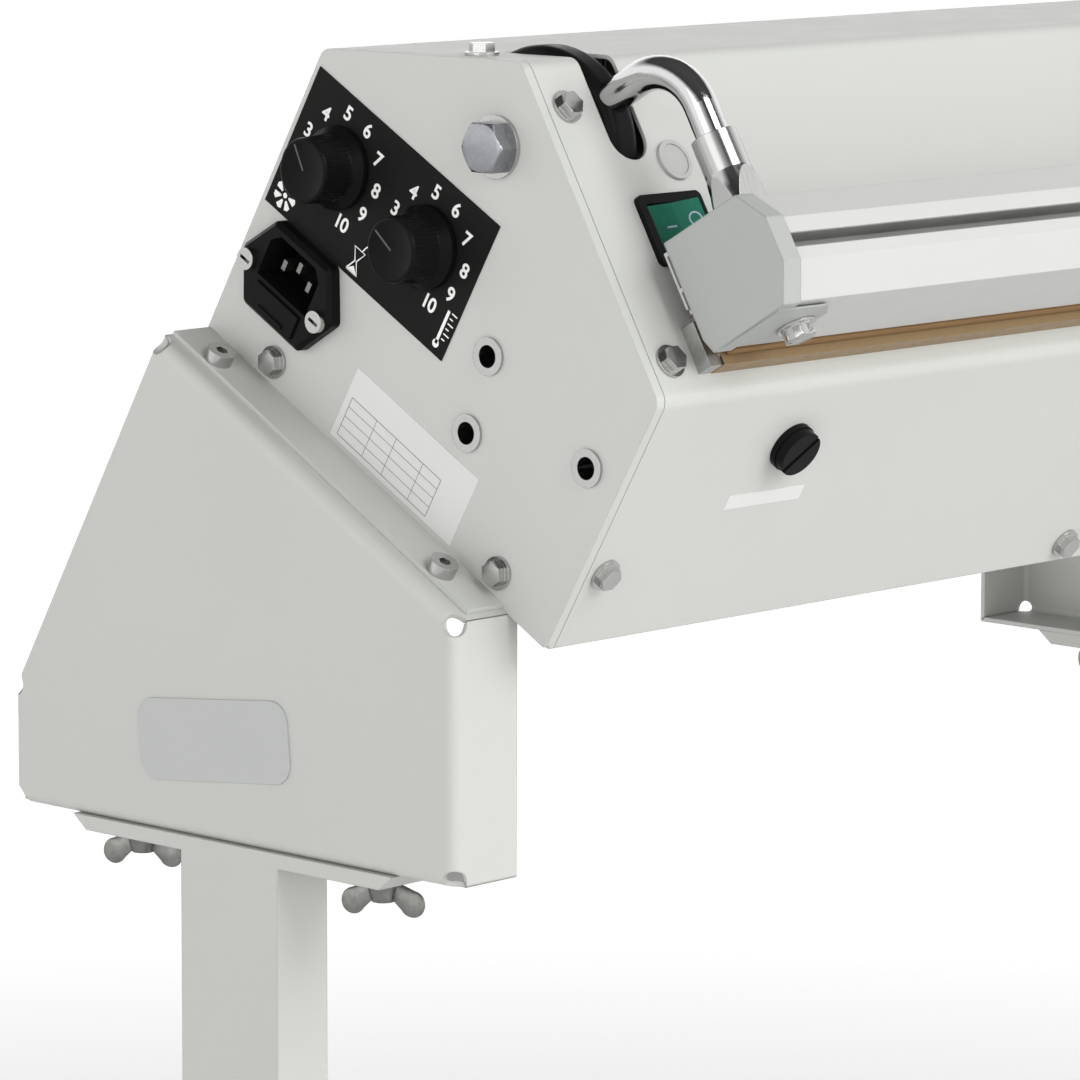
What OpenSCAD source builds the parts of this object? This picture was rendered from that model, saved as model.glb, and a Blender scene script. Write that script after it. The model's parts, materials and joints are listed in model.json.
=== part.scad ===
// Impulse heat sealer on a two-leg floor stand.
// Frame: X along the machine, Y toward the back, Z up, origin on the floor at the middle of the stand.

/* [Body] */
// length of the body over both end plates
body_length = 550; // [450:5:700]
// lean of the whole body toward the operator, in degrees
body_tilt = 30; // [20:1:35]
// depth of the body along its base
body_depth = 195; // [180:1:230]
// height of the back wall
back_height = 121; // [110:1:150]
// distance of the top ridge from the back wall
ridge_depth = 83; // [75:1:95]
// slope of the two panels that meet at the ridge, in degrees
panel_slope = 30; // [25:1:35]
// height of the rear lower edge over the floor
body_rise = 900; // [750:5:1000]
// distance of that edge behind the middle of the feet
body_setback = 75; // [50:1:110]
// thickness of the covers
cover_sheet = 1.5; // [1:0.1:2]
// thickness of the end plates
plate_sheet = 2; // [1.5:0.1:3]
// radius of the soft corners of the section
corner_round = 6; // [3:0.5:10]

/* [End plates] */
// width of the visible rim at the seam
rim_width = 4; // [3:0.5:6]
// depth of the inner flange that carries the covers
flange_depth = 24; // [20:1:30]
// width of the foot flange
foot_flange_width = 18; // [16:0.5:24]
// length of the foot flange
foot_flange_length = 170; // [160:1:175]
// gap between the tray and the lower edge of the rims
plate_lift = 2.5; // [1.6:0.1:4]
// distance of the cover screws from the outer face
cover_screw_inset = 13; // [11:0.5:16]
// thread of the rivet nuts
rivet_thread = 8; // [5:1:10]
// length of a rivet nut
rivet_length = 16; // [12:1:20]

/* [Stand] */
// width of the stand heads from face to flange edge
head_width = 31; // [28:1:40]
// thickness of the stand head sheet
head_sheet = 2; // [1.5:0.1:3]
// height of a stand head below the rear lower edge of the body
head_drop = 181; // [160:1:220]
// reach of a stand head in front of the rear lower edge
head_front = 150.8; // [145:0.2:155]
// reach of a stand head behind the rear lower edge
head_back = 78.5; // [70:0.5:90]
// width of the post tube seen from the side
post_width = 50; // [40:5:60]
// thickness of the post tube along the machine
post_thickness = 25; // [20:5:30]
// wall of the stand tubes
tube_wall = 2; // [1.5:0.5:3]
// distance of the post middle in front of the rear lower edge
post_front = 37.3; // [30:0.1:45]
// length of the plate on top of a post
post_plate_length = 166; // [150:1:180]
// thickness of the plate on top of a post
post_plate_sheet = 5.5; // [4:0.5:8]
// spacing of the two studs that hold a stand head
stud_pitch = 125; // [110:1:135]
// length of a foot tube
foot_length = 560; // [500:10:700]
// height of a foot tube
foot_height = 25; // [20:5:40]
// height of the levelling feet
leveller_height = 28; // [24:1:40]
// height of the cross tie over the floor
tie_height = 210; // [150:5:400]

/* [Controls] */
// length of the control overlay
overlay_length = 101.5; // [95:0.5:108]
// height of the control overlay
overlay_height = 56.5; // [50:0.5:60]
// spacing of the two dials
dial_pitch = 50; // [46:1:54]
// diameter of a dial skirt
knob_skirt = 30; // [26:1:34]
// diameter of a dial grip
knob_grip = 24; // [20:1:26]
// height of a dial
knob_height = 18.5; // [14:0.5:22]
// spacing of the mains inlet screws
inlet_pitch = 40; // [38:1:42]
// length of the rocker bezel
rocker_length = 32.5; // [30:0.5:36]
// width of the rocker bezel
rocker_width = 26.5; // [24:0.5:28]
// diameter of the fuse holder
fuse_diameter = 18.6; // [16:0.2:20]

/* [Arm] */
// depth of the pivot below the ridge
pivot_drop = 38.9; // [37:0.1:41]
// radius of the drums
drum_radius = 37; // [35:0.5:38]
// thickness of the drums
drum_width = 14; // [13:0.5:15]
// distance of the drum middle from the outer face of the end plate
drum_inset = 35.5; // [34:0.5:38]
// width of the slots in the cover
slot_width = 18; // [17:0.5:20]
// middle of the slots from the outer face of the end plate
slot_inset = 37; // [36:0.5:40]
// diameter of the pivot shaft
shaft_diameter = 14; // [12:1:16]
// running gap round the shaft
shaft_gap = 0.05; // [0.02:0.01:0.1]
// diameter of the arm tubes
tube_diameter = 12; // [10:0.5:13]
// diameter of the tube sleeves
sleeve_diameter = 16.4; // [15:0.2:18]
// height of the tubes over the panel
tube_lift = 37; // [34:0.5:40]
// bend radius of the tubes
tube_bend = 21; // [18:0.5:24]
// gap between the panel and the closed seal bar
bar_lift = 12.5; // [11:0.5:14]
// distance of the bar ends from the outer faces of the end plates
bar_inset = 21; // [18:0.5:26]
// travel of the knife carriage along the bar
knife_travel = 420; // [300:10:440]

/* [Jaw] */
// width of the jaw along the panel
jaw_width = 20; // [18:0.5:22]
// height of the jaw rail
jaw_height = 6.3; // [5:0.1:7]
// distance of the upper jaw edge from the front edge of the panel
jaw_setback = 28.8; // [26:0.2:31]
// distance of the jaw ends from the outer faces of the end plates
jaw_inset = 25; // [24:0.5:35]

/* [Hidden] */
$fn = 48;
fit_gap = 0.2;
seam_gap = 0.3;
cut = 1;
lap = 0.1;
joggle = cover_sheet + fit_gap;
half_length = body_length / 2;
ridge_height = back_height + ridge_depth * tan(panel_slope);
front_height = ridge_height - (body_depth - ridge_depth) * tan(panel_slope);
panel_length = (body_depth - ridge_depth) / cos(panel_slope);
jaw_place = panel_length - jaw_setback;
section_corners = [[0, 0], [0, back_height], [ridge_depth, ridge_height], [body_depth, front_height],
                   [body_depth, 0]];
plate_corners = [[0, plate_lift], [0, back_height], [ridge_depth, ridge_height],
                 [body_depth, front_height], [body_depth, plate_lift]];
cover_rounds = [0, corner_round, corner_round, corner_round, 0];
plate_rounds = [0, corner_round, corner_round, corner_round, corner_round];
face_rounds = [0, corner_round, corner_round, corner_round, 2];
tray_sheet = 1.5;
tray_lip = 14;
rear_lip = 14;
// the arm, in the frame of the front panel: s runs down from the ridge, h stands off the panel
pivot_height = ridge_height - pivot_drop;
pivot_s = pivot_drop * sin(panel_slope);
pivot_h = -pivot_drop * cos(panel_slope);
slot_round = slot_width / 2;
slot_reach = 31;
tube_s = 17;
bar_top_s = jaw_place - 23.2;
sleeve_start = bar_top_s - 27.6;
crush_start = bar_top_s - 13.8;
tube_grip = 12;
foot_width = 17.2;
foot_thickness = 13;
foot_depth = 16;
bar_outline = [[bar_top_s, 0], [bar_top_s, 35.7], [bar_top_s + 11.7, 43.9], [bar_top_s + 27.5, 43.9],
               [bar_top_s + 39.8, 37], [bar_top_s + 40.5, 2], [bar_top_s + 35.5, 0]];
bar_front_s = bar_top_s + 40.5;
cap_sheet = 0.8;
cap_screw_x = 44;
channel_drop = 3.5;
groove_s = bar_top_s + 17.6;
groove_width = 5.3;
groove_depth = 9;
groove_floor = 43.9 - groove_depth;
strip_height = 3.9;
strip_width = 15;
element_width = 4;
tape_sheet = 0.4;
clamp_width = 6;
insulation_sheet = 0.4;
element_sheet = 0.2;
jaw_top = jaw_height + insulation_sheet + element_sheet;
lever_sheet = 6;
lever_x = drum_inset + drum_width / 2 + lever_sheet / 2 + 0.1;
lever_length = 88;
core_size = [90, 60, 76];
core_window = [64, 48];
magnet_diameter = 36;
magnet_length = 24;
magnet_face = ridge_depth - 6;
magnet_height = pivot_height - 70;
dial_u = 28;
overlay_v = back_height / 2 - 2.2;
dial_v = overlay_v + 30.7;
dials = [dial_u, dial_u + dial_pitch];
inlet_u = 30;
inlet_v = overlay_v - 17.8;
inlet_screw_v = inlet_v - 2;
inlet_flange = 5.5;
inlet_half = 26;
inlet_points = [[-16, -18], [-inlet_half, 0], [-15.5, 17.5], [15.5, 17.5], [inlet_half, 0], [16, -18]];
drawer_width = 24;
drawer_height = 9;
drawer_v = inlet_v - 10.5;
drawer_travel = 20;
overlay_u = 2.2;
rivets = [[body_depth - 73.2, 72.9], [body_depth - 68.2, 43.8], [body_depth - 15.5, front_height - 37.9]];
hex_bolt = [ridge_depth + 5.5, pivot_height + 7.6];
foot_screws = [20.5, 149.5];
foot_screw_x = -12.5;
plate_screws = [[34.8, 10], [163.5, 10]];
head_corners = [[0, 0], [head_back, -head_back / tan(body_tilt)], [head_back, -head_drop],
                [-head_front, -head_drop], [-head_front, -head_front * tan(body_tilt)]];
head_face = -foot_flange_width - 8;
head_edge = head_face + head_width;
head_fold = 4.5;
studs = [-post_front - stud_pitch / 2, -post_front + stud_pitch / 2];
stud_x = head_face + 16;
stud_diameter = 6;
nut_height = 8.5;
screw_diameter = 5;
screw_hole = 5.4;
plate_hole_depth = 8;
bolt_diameter = 8;
bolt_hole = 8.4;
bolt_hexagon = 15;
bolt_head = 5.3;
foot_bolt_place = 36;
tie_bolt_place = 22;
stud_hole = stud_diameter + 0.6;
rivet_body = rivet_thread + 3;
hex_shank = 10;
hex_washer = [22, 1.6];
bush_diameter = 9;
spindle_diameter = 6;
inlet_cut = [31, 32];
inlet_screw_hole = 3.2;
fuse_body = 12.8;
fuse_rim = 2.2;
fuse_bore = 9;
fuse_hole = 13;
clamp_pin = 4;
front_screws = [18.5, panel_length - 14.3];
wall_screw_v = 31;
tray_screw_x = 282.5;
tray_screw_v = 8.5;
top_screw_t = 30.7;
rocker_x = 43.5;
rocker_s = 67.3;
rocker_cut_x = 28.5;
rocker_cut_s = 22;
rocker_depth = 18;
rocker_tilt = 9;
rocker_pin = 3;
plug_x = 55;
plug_s = 41.7;
plug_diameter = 15;
plug_hole = 12;
fuse_x = 83.3;
fuse_v = front_height - 26.9;
fuse_stand = 6;
plate_top = -head_drop;
plate_bottom = plate_top - post_plate_sheet;
foot_top = leveller_height + foot_height - body_rise;
foot_x = head_face + post_width / 2;
light_grey = [0.80, 0.80, 0.78];
stand_grey = [0.78, 0.79, 0.76];
zinc = [0.72, 0.73, 0.72];
black = [0.08, 0.08, 0.08];
steel = [0.60, 0.61, 0.62];

// ---------- section helpers ----------

function unit(v) = v / norm(v);
function inward(e) = [e[1], -e[0]];
function before(i, n) = (i + n - 1) % n;
function after(i, n) = (i + 1) % n;
// inward normals of the two edges that meet at corner i of a clockwise outline
function normal_in(p, i) = inward(unit(p[i] - p[before(i, len(p))]));
function normal_out(p, i) = inward(unit(p[after(i, len(p))] - p[i]));
// direction of the line that halves corner i
function mitre_angle(p, i) =
    let (m = normal_in(p, i) + normal_out(p, i)) atan2(m[1], m[0]);
function inset_corner(p, i, d) =
    let (a = normal_in(p, i), b = normal_out(p, i)) p[i] + (a + b) * d / (1 + a * b);
function inset(p, d) = [for (i = [0 : len(p) - 1]) inset_corner(p, i, d)];
function corner_arc(p, i, r) =
    let (a = normal_in(p, i), b = normal_out(p, i), c = inset_corner(p, i, r), turn = acos(a * b),
         start = atan2(-a[1], -a[0]))
    r <= 0 ? [p[i]] : [for (k = [0 : 5]) c + r * [cos(start - turn * k / 5), sin(start - turn * k / 5)]];
function rounded(p, rounds) =
    [for (i = [0 : len(p) - 1]) each corner_arc(p, i, rounds[i])];
function section_at(corners, rounds, d) =
    rounded(inset(corners, d), [for (r = rounds) r > d ? r - d : 0]);

// ---------- frames ----------

module in_body() {
    translate([-half_length, body_setback, body_rise]) rotate([body_tilt, 0, 0]) children();
}

module on_front_panel() {
    in_body() translate([0, -ridge_depth, ridge_height]) rotate([panel_slope, 0, 0]) children();
}

module on_top_panel() {
    in_body() translate([0, -ridge_depth, ridge_height]) rotate([-panel_slope, 0, 0]) children();
}

module on_front_wall() {
    in_body() translate([0, -body_depth, 0]) rotate([90, 0, 0]) children();
}

module on_end_plate() {
    in_body() rotate([90, 0, -90]) children();
}

module on_head() {
    translate([-half_length, body_setback, body_rise]) children();
}

module both_ends() {
    children();
    mirror([1, 0, 0]) children();
}

// a prism of a section drawn in the body frame, depth by height, from x0 to x1
module body_prism(x0, x1) {
    in_body() translate([x0, 0, 0]) rotate([90, 0, 90]) linear_extrude(x1 - x0) mirror([1, 0]) children();
}

// a prism of a section drawn in the panel frame, s by h, from x0 to x1
module panel_prism(x0, x1) {
    on_front_panel() translate([x0, 0, 0]) rotate([90, 0, 90]) linear_extrude(x1 - x0)
        mirror([1, 0]) children();
}

// a prism of a section drawn in the upright frame of the stand, y by z, from x0 to x1
module head_prism(x0, x1) {
    on_head() translate([x0, 0, 0]) rotate([90, 0, 90]) linear_extrude(x1 - x0) children();
}

module rod(d, x0, x1) {
    translate([x0, 0, 0]) rotate([0, 90, 0]) cylinder(d = d, h = x1 - x0);
}

module hole(d, depth) {
    translate([0, 0, -depth]) cylinder(d = d, h = depth * 2);
}

module box_at(size, centre) {
    translate(centre) cube(size, center = true);
}

module ring_2d(corners, rounds, outer, inner) {
    difference() {
        polygon(section_at(corners, rounds, outer));
        polygon(section_at(corners, rounds, inner));
    }
}

// ---------- fasteners ----------

module hex_flange_screw(shank) {
    flange = 12;
    flange_sheet = 1.2;
    hexagon = 9.2;
    hexagon_height = 3.2;
    cylinder(d = flange, h = flange_sheet);
    translate([0, 0, flange_sheet]) cylinder(d = hexagon, h = hexagon_height, $fn = 6);
    translate([0, 0, -shank]) cylinder(d = screw_diameter, h = shank + lap);
}

module at_cover_screws() {
    for (s = front_screws)
        on_front_panel() translate([cover_screw_inset, -s, 0]) children();
    on_front_wall() translate([cover_screw_inset, wall_screw_v, 0]) children();
    on_top_panel() translate([cover_screw_inset, top_screw_t, 0]) children();
    in_body() translate([cover_screw_inset, 0, back_height / 2]) rotate([-90, 0, 0]) children();
}

module at_tray_screw() {
    on_front_wall() translate([tray_screw_x, tray_screw_v, 0]) children();
}

module at_foot_screws() {
    for (u = foot_screws)
        in_body() translate([foot_screw_x, -u, 0]) children();
}

module at_plate_screws() {
    for (p = plate_screws)
        on_end_plate() translate([p[0], p[1], 0]) children();
}

module at_studs() {
    for (y = studs)
        on_head() translate([stud_x, y, -head_drop]) children();
}

module at_pivot() {
    in_body() translate([0, -ridge_depth, pivot_height]) children();
}

// ---------- body shell ----------

module end_plate_solid() {
    step = 0.5;
    flange_start = 1;
    tray_space = joggle + plate_sheet + 1;
    difference() {
        union() {
            body_prism(0, plate_sheet) polygon(section_at(section_corners, face_rounds, 0));
            // the front rim reaches down as far as the cover beside it
            in_body() translate([plate_sheet - step, -body_depth, 0])
                cube([rim_width - plate_sheet + step, cover_sheet, corner_round + plate_lift]);
            body_prism(plate_sheet - step, rim_width)
                ring_2d(plate_corners, plate_rounds, 0, joggle + plate_sheet);
            body_prism(rim_width - step, flange_depth)
                ring_2d(plate_corners, plate_rounds, joggle, joggle + plate_sheet);
            in_body() translate([0, -foot_flange_length - flange_start, 0])
                cube([plate_sheet, foot_flange_length, plate_lift + 2]);
            in_body() translate([-foot_flange_width, -foot_flange_length - flange_start, 0])
                cube([foot_flange_width + plate_sheet, foot_flange_length, plate_sheet]);
        }
        // the lower edge stays open for the tray
        in_body() translate([plate_sheet + 0.05, -body_depth + tray_space, -cut])
            cube([flange_depth, body_depth - 2 * tray_space, tray_lip + cut + 2]);
        at_cover_screws() hole(screw_hole, plate_hole_depth);
        at_foot_screws() hole(screw_hole, plate_hole_depth);
        at_plate_screws() hole(screw_hole, plate_hole_depth);
        for (p = rivets)
            on_end_plate() translate([p[0], p[1], 0]) hole(rivet_body + fit_gap, plate_hole_depth);
        on_end_plate() translate([hex_bolt[0], hex_bolt[1], 0]) hole(hex_shank + fit_gap, plate_hole_depth);
    }
}

module left_end_plate() {
    color(light_grey) difference() {
        end_plate_solid();
        for (u = dials)
            on_end_plate() translate([u, dial_v, 0]) hole(bush_diameter + fit_gap, plate_hole_depth);
        on_end_plate() box_at([inlet_cut[0], inlet_cut[1], 20], [inlet_u, inlet_v, 0]);
        for (side = [-1, 1])
            on_end_plate() translate([inlet_u + side * inlet_pitch / 2, inlet_screw_v, 0])
                hole(inlet_screw_hole, plate_hole_depth);
    }
}

module right_end_plate() {
    color(light_grey) mirror([1, 0, 0]) end_plate_solid();
}

module drum_slot() {
    on_front_panel() box_at([slot_width, slot_reach + 4, 20], [slot_inset, -(slot_reach - 4) / 2, 0]);
    on_front_panel() translate([slot_inset, -slot_reach, 0]) hole(slot_width, 10);
    on_top_panel() box_at([slot_width, slot_reach + 4, 20], [slot_inset, (slot_reach - 4) / 2, 0]);
    on_top_panel() translate([slot_inset, slot_reach, 0]) hole(slot_width, 10);
}

module front_cover() {
    seam = rim_width + seam_gap;
    color(light_grey) difference() {
        body_prism(seam, body_length - seam)
            ring_2d(section_corners, cover_rounds, 0, cover_sheet);
        in_body() translate([0, -cover_sheet * 2, -cut])
            cube([body_length, cover_sheet * 2 + cut, back_height - rear_lip + cut]);
        in_body() translate([0, -body_depth + cover_sheet, -cut])
            cube([body_length, body_depth - cover_sheet + cut, cut + cover_sheet * 2]);
        both_ends() drum_slot();
        both_ends() at_cover_screws() hole(screw_hole, 6);
        at_tray_screw() hole(screw_hole, 6);
        on_front_panel()
            box_at([rocker_cut_x + fit_gap, rocker_cut_s + fit_gap, 12], [rocker_x, -rocker_s, 0]);
        on_front_panel() translate([plug_x, -plug_s, 0]) hole(plug_hole + fit_gap, 6);
        on_front_wall() translate([fuse_x, fuse_v, 0]) hole(fuse_hole, 6);
        both_ends() at_clamp_pin() hole(clamp_pin + 2 * fit_gap, 6);
    }
}

module rear_cover() {
    seam = rim_width + seam_gap;
    louvres = 12;
    louvre_pitch = 14;
    louvre = [4, 10, 40];
    color(light_grey) difference() {
        in_body() translate([seam, -cover_sheet, 0])
            cube([body_length - 2 * seam, cover_sheet, back_height - rear_lip - seam_gap]);
        both_ends() at_cover_screws() hole(screw_hole, 6);
        for (i = [0 : louvres - 1])
            in_body() translate([half_length + (i - (louvres - 1) / 2) * louvre_pitch, 0, back_height / 2])
                box_at(louvre, [0, 0, 0]);
    }
}

module base_tray() {
    front_u = body_depth - cover_sheet - fit_gap;
    rear_u = cover_sheet + fit_gap;
    end_x = plate_sheet + 0.1;
    vents = 9;
    vent_pitch = 16;
    vent = [5, 60, 10];
    vent_u = 150;
    color(steel) difference() {
        union() {
            in_body() translate([end_x, -front_u, 0])
                cube([body_length - 2 * end_x, front_u - rear_u, tray_sheet]);
            for (u = [front_u, rear_u + tray_sheet])
                in_body() translate([flange_depth + 2, -u, 0])
                    cube([body_length - 2 * flange_depth - 4, tray_sheet, tray_lip]);
            for (x = [end_x, body_length - end_x - tray_sheet])
                in_body() translate([x, -front_u + 6, 0])
                    cube([tray_sheet, front_u - rear_u - 12, tray_lip]);
        }
        both_ends() at_plate_screws() hole(screw_hole, plate_hole_depth);
        at_tray_screw() hole(screw_hole, plate_hole_depth);
        for (i = [0 : vents - 1])
            in_body() box_at(vent, [half_length + (i - (vents - 1) / 2) * vent_pitch, -vent_u, 0]);
    }
}

// ---------- stand ----------

// sheet edge of a stand head: x from the face, y inward from the fold, d under the outer skin
module fold_profile(d) {
    reach = head_front + head_back + head_drop;
    translate([head_fold, d]) square(reach);
    translate([d, head_fold]) square(reach);
    translate([head_fold, head_fold]) circle(head_fold - d);
}

// everything on the inner side of the fold along the edge from p to q
module fold_block(p, q, d) {
    e = unit(q - p);
    reach = 3 * head_drop;
    on_head() translate([head_face, p[0], p[1]]) rotate([atan2(e[1], e[0]), 0, 0]) rotate([90, 0, 0])
        translate([0, 0, -reach / 2]) linear_extrude(reach) mirror([0, 1]) fold_profile(d);
}

module head_block(d, width) {
    intersection() {
        fold_block(head_corners[0], head_corners[1], d);
        fold_block(head_corners[1], head_corners[2], d);
        fold_block(head_corners[2], head_corners[3], d);
        fold_block(head_corners[3], head_corners[4], d);
        fold_block(head_corners[4], head_corners[0], d);
        head_prism(head_face, head_face + width) polygon(head_corners);
    }
}

module head_solid() {
    relief = 4.3;
    difference() {
        head_block(0, head_width);
        head_block(head_sheet, head_width + cut);
        // round reliefs where two folds meet
        for (p = inset(head_corners, head_sheet))
            on_head() translate([head_face + head_sheet, p[0], p[1]]) sphere(relief);
        // open seams between neighbouring flanges
        for (i = [0 : len(head_corners) - 1])
            on_head() translate([head_face + head_width, head_corners[i][0], head_corners[i][1]])
                rotate([mitre_angle(head_corners, i), 0, 0])
                    box_at([2 * (head_width - head_fold), 2 * head_fold, 2 * fit_gap], [0, 0, 0]);
        at_foot_screws() hole(screw_hole, plate_hole_depth);
        at_studs() hole(stud_hole, 8);
    }
}

module left_stand_head() {
    color(stand_grey) head_solid();
}

module right_stand_head() {
    color(stand_grey) mirror([1, 0, 0]) head_solid();
}

module box_tube(x, y, z) {
    difference() {
        cube([x, y, z]);
        translate([tube_wall, tube_wall, -cut]) cube([x - 2 * tube_wall, y - 2 * tube_wall, z + 2 * cut]);
    }
}

module post_solid() {
    chamfer = 7;
    base = [90, 6];
    plate_back = -post_front + post_plate_length / 2;
    plate_front = -post_front - post_plate_length / 2;
    difference() {
        union() {
            on_head() translate([head_face, -post_front - post_width / 2, foot_top + base[1] - lap])
                box_tube(post_thickness, post_width, plate_bottom - foot_top - base[1] + 2 * lap);
            head_prism(head_face, head_edge)
                polygon([[plate_front, plate_top], [plate_front + chamfer, plate_bottom],
                         [plate_back - chamfer, plate_bottom], [plate_back, plate_top]]);
            on_head() translate([head_face, -post_front - base[0] / 2, foot_top])
                cube([post_width, base[0], base[1]]);
        }
        at_studs() hole(stud_hole, 10);
        at_foot_bolts() hole(bolt_hole, 12);
        at_tie_bolts() rotate([0, 90, 0]) hole(bolt_hole, post_thickness + 10);
    }
}

module at_foot_bolts() {
    for (y = [-foot_bolt_place, foot_bolt_place])
        on_head() translate([foot_x, -post_front + y, foot_top + 6]) children();
}

module at_tie_bolts() {
    for (z = [-tie_bolt_place, tie_bolt_place])
        translate([-half_length + head_face, body_setback - post_front, tie_height + z]) children();
}

module left_post() {
    color(stand_grey) post_solid();
}

module right_post() {
    color(stand_grey) mirror([1, 0, 0]) post_solid();
}

module foot_solid() {
    difference() {
        translate([-half_length + head_face, foot_length / 2 - 3, leveller_height]) rotate([90, 0, 0])
            box_tube(post_width, foot_height, foot_length - 6);
        at_foot_bolts() hole(bolt_hole, 12);
        at_levellers() hole(10.4, 12);
    }
}

module at_levellers() {
    for (y = [-1, 1])
        translate([-half_length + foot_x, y * (foot_length / 2 - 30), leveller_height]) children();
}

module left_foot() {
    color(stand_grey) foot_solid();
}

module right_foot() {
    color(stand_grey) mirror([1, 0, 0]) foot_solid();
}

module foot_end_caps() {
    plug = [post_width - 2 * tube_wall - fit_gap, 12, foot_height - 2 * tube_wall - fit_gap];
    cap = 3;
    color(black) both_ends() for (side = [-1, 1])
        translate([-half_length + foot_x, side * foot_length / 2, leveller_height + foot_height / 2]) {
            box_at([post_width, cap, foot_height], [0, -side * cap / 2, 0]);
            box_at(plug, [0, -side * (cap - 1 + plug[1] / 2), 0]);
        }
}

module levelling_feet() {
    pad = [40, 8];
    neck = [32, 18, 8];
    locknut = [17, 6];
    thread = 10;
    color(black) both_ends() at_levellers() {
        translate([0, 0, -leveller_height]) cylinder(d = pad[0], h = pad[1]);
        translate([0, 0, -leveller_height + pad[1]]) cylinder(d1 = neck[0], d2 = neck[1], h = neck[2]);
        translate([0, 0, -locknut[1]]) cylinder(d = locknut[0], h = locknut[1], $fn = 6);
        translate([0, 0, -leveller_height + 12]) cylinder(d = thread, h = leveller_height + 6);
    }
}

module cross_tie() {
    inner_x = -half_length + head_face + post_thickness;
    tie_y = body_setback - post_front;
    flange = [5, 40, 70];
    tie = [20, 25];
    color(stand_grey) difference() {
        union() {
            both_ends() translate([inner_x, tie_y - flange[1] / 2, tie_height - flange[2] / 2])
                cube(flange);
            translate([inner_x + flange[0] - lap, tie_y - tie[0] / 2, tie_height - tie[1] / 2])
                rotate([90, 0, 90]) box_tube(tie[0], tie[1], 2 * (lap - inner_x - flange[0]));
        }
        both_ends() at_tie_bolts() rotate([0, 90, 0]) hole(bolt_hole, post_thickness + 10);
    }
}

module tie_bolts() {
    color(zinc) both_ends() at_tie_bolts() rotate([0, -90, 0]) {
        cylinder(d = bolt_hexagon, h = bolt_head, $fn = 6);
        translate([0, 0, -post_thickness - 14]) cylinder(d = bolt_diameter, h = post_thickness + 14 + lap);
        translate([0, 0, -post_thickness - 11.6]) cylinder(d = bolt_hexagon, h = 6.5, $fn = 6);
    }
}

module foot_bolts() {
    color(zinc) both_ends() at_foot_bolts() {
        cylinder(d = bolt_hexagon, h = bolt_head, $fn = 6);
        translate([0, 0, -14]) cylinder(d = bolt_diameter, h = 14 + lap);
    }
}

module head_studs() {
    end = post_plate_sheet + nut_height - 0.5;
    color(zinc) both_ends() at_studs() {
        translate([0, 0, head_sheet]) cylinder(d = 2 * stud_diameter, h = 3.5, $fn = 6);
        translate([0, 0, -end]) cylinder(d = stud_diameter, h = end + head_sheet + lap);
    }
}

// one drooping ear, in the plane of the stud axis
module wing_ear(side) {
    sheet = 2.6;
    width = 5.6;
    tip_round = 4.7;
    root = [side * 4.5, -4.2];
    tip = [side * 11.2, -8.8];
    droop = atan2(tip[1] - root[1], tip[0] - root[0]);
    translate([-sheet / 2, 0, 0]) rotate([90, 0, 90]) linear_extrude(sheet) {
        translate(tip) circle(tip_round);
        translate(root) rotate(droop) translate([0, -width / 2]) square([norm(tip - root), width]);
    }
}

module wing_nuts() {
    turn = 25;
    seat = 12.5;
    nose = 8.6;
    color(zinc) both_ends() at_studs() translate([0, 0, -post_plate_sheet]) rotate([0, 0, turn])
        difference() {
        union() {
            translate([0, 0, -nut_height]) cylinder(d1 = nose, d2 = seat, h = nut_height);
            for (side = [-1, 1])
                wing_ear(side);
        }
        hole(stud_diameter, 30);
    }
}

module foot_flange_screws() {
    head = [10.5, 4.5];
    socket = [4.6, 2.5];
    nut = [8.8, 4];
    shank = 9;
    color(zinc) both_ends() at_foot_screws() {
        difference() {
            translate([0, 0, plate_sheet]) cylinder(d = head[0], h = head[1]);
            translate([0, 0, plate_sheet + head[1] - socket[1]])
                cylinder(d = socket[0], h = head[1], $fn = 6);
        }
        translate([0, 0, -shank]) cylinder(d = screw_diameter, h = shank + plate_sheet + lap);
        translate([0, 0, -head_sheet - nut[1]]) cylinder(d = nut[0], h = nut[1], $fn = 6);
    }
}

module tray_screws() {
    color(zinc) both_ends() at_plate_screws() hex_flange_screw(10);
}

module cover_screws() {
    color(zinc) {
        both_ends() at_cover_screws() hex_flange_screw(8);
        at_tray_screw() hex_flange_screw(8);
    }
}

module rivet_nuts() {
    color(zinc) both_ends() for (p = rivets)
        on_end_plate() translate([p[0], p[1], 0]) difference() {
            union() {
                cylinder(d = rivet_body + 2.5, h = 1.2);
                translate([0, 0, -rivet_length]) cylinder(d = rivet_body, h = rivet_length + lap);
            }
            translate([0, 0, -rivet_length - cut]) cylinder(d = rivet_thread, h = rivet_length + 3);
        }
}

module at_hex_bolts() {
    both_ends() on_end_plate() translate([hex_bolt[0], hex_bolt[1], 0]) children();
}

module hex_bolts() {
    hexagon = 19.6;
    head = 7;
    depth = 12;
    color(zinc) at_hex_bolts() {
        translate([0, 0, hex_washer[1]]) cylinder(d = hexagon, h = head, $fn = 6);
        translate([0, 0, -depth]) cylinder(d = hex_shank, h = depth + hex_washer[1] + lap);
    }
}

module bolt_washers() {
    color(zinc) at_hex_bolts() difference() {
        cylinder(d = hex_washer[0], h = hex_washer[1]);
        hole(hex_shank + 0.5, 4);
    }
}

module bearing_blocks() {
    block_end = 25;
    block_width = 37;
    block_height = 38;
    block_drop = 18;
    bore_start = 13;
    color(black) both_ends() difference() {
        in_body() translate([plate_sheet, -ridge_depth - block_width / 2, pivot_height - block_drop])
            cube([block_end - plate_sheet, block_width, block_height]);
        at_pivot() rod(shaft_diameter + 2 * shaft_gap, bore_start, block_end + cut);
        on_end_plate() translate([hex_bolt[0], hex_bolt[1], 0]) hole(hex_shank, 12 + lap);
    }
}

// ---------- controls on the left end plate ----------

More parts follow.
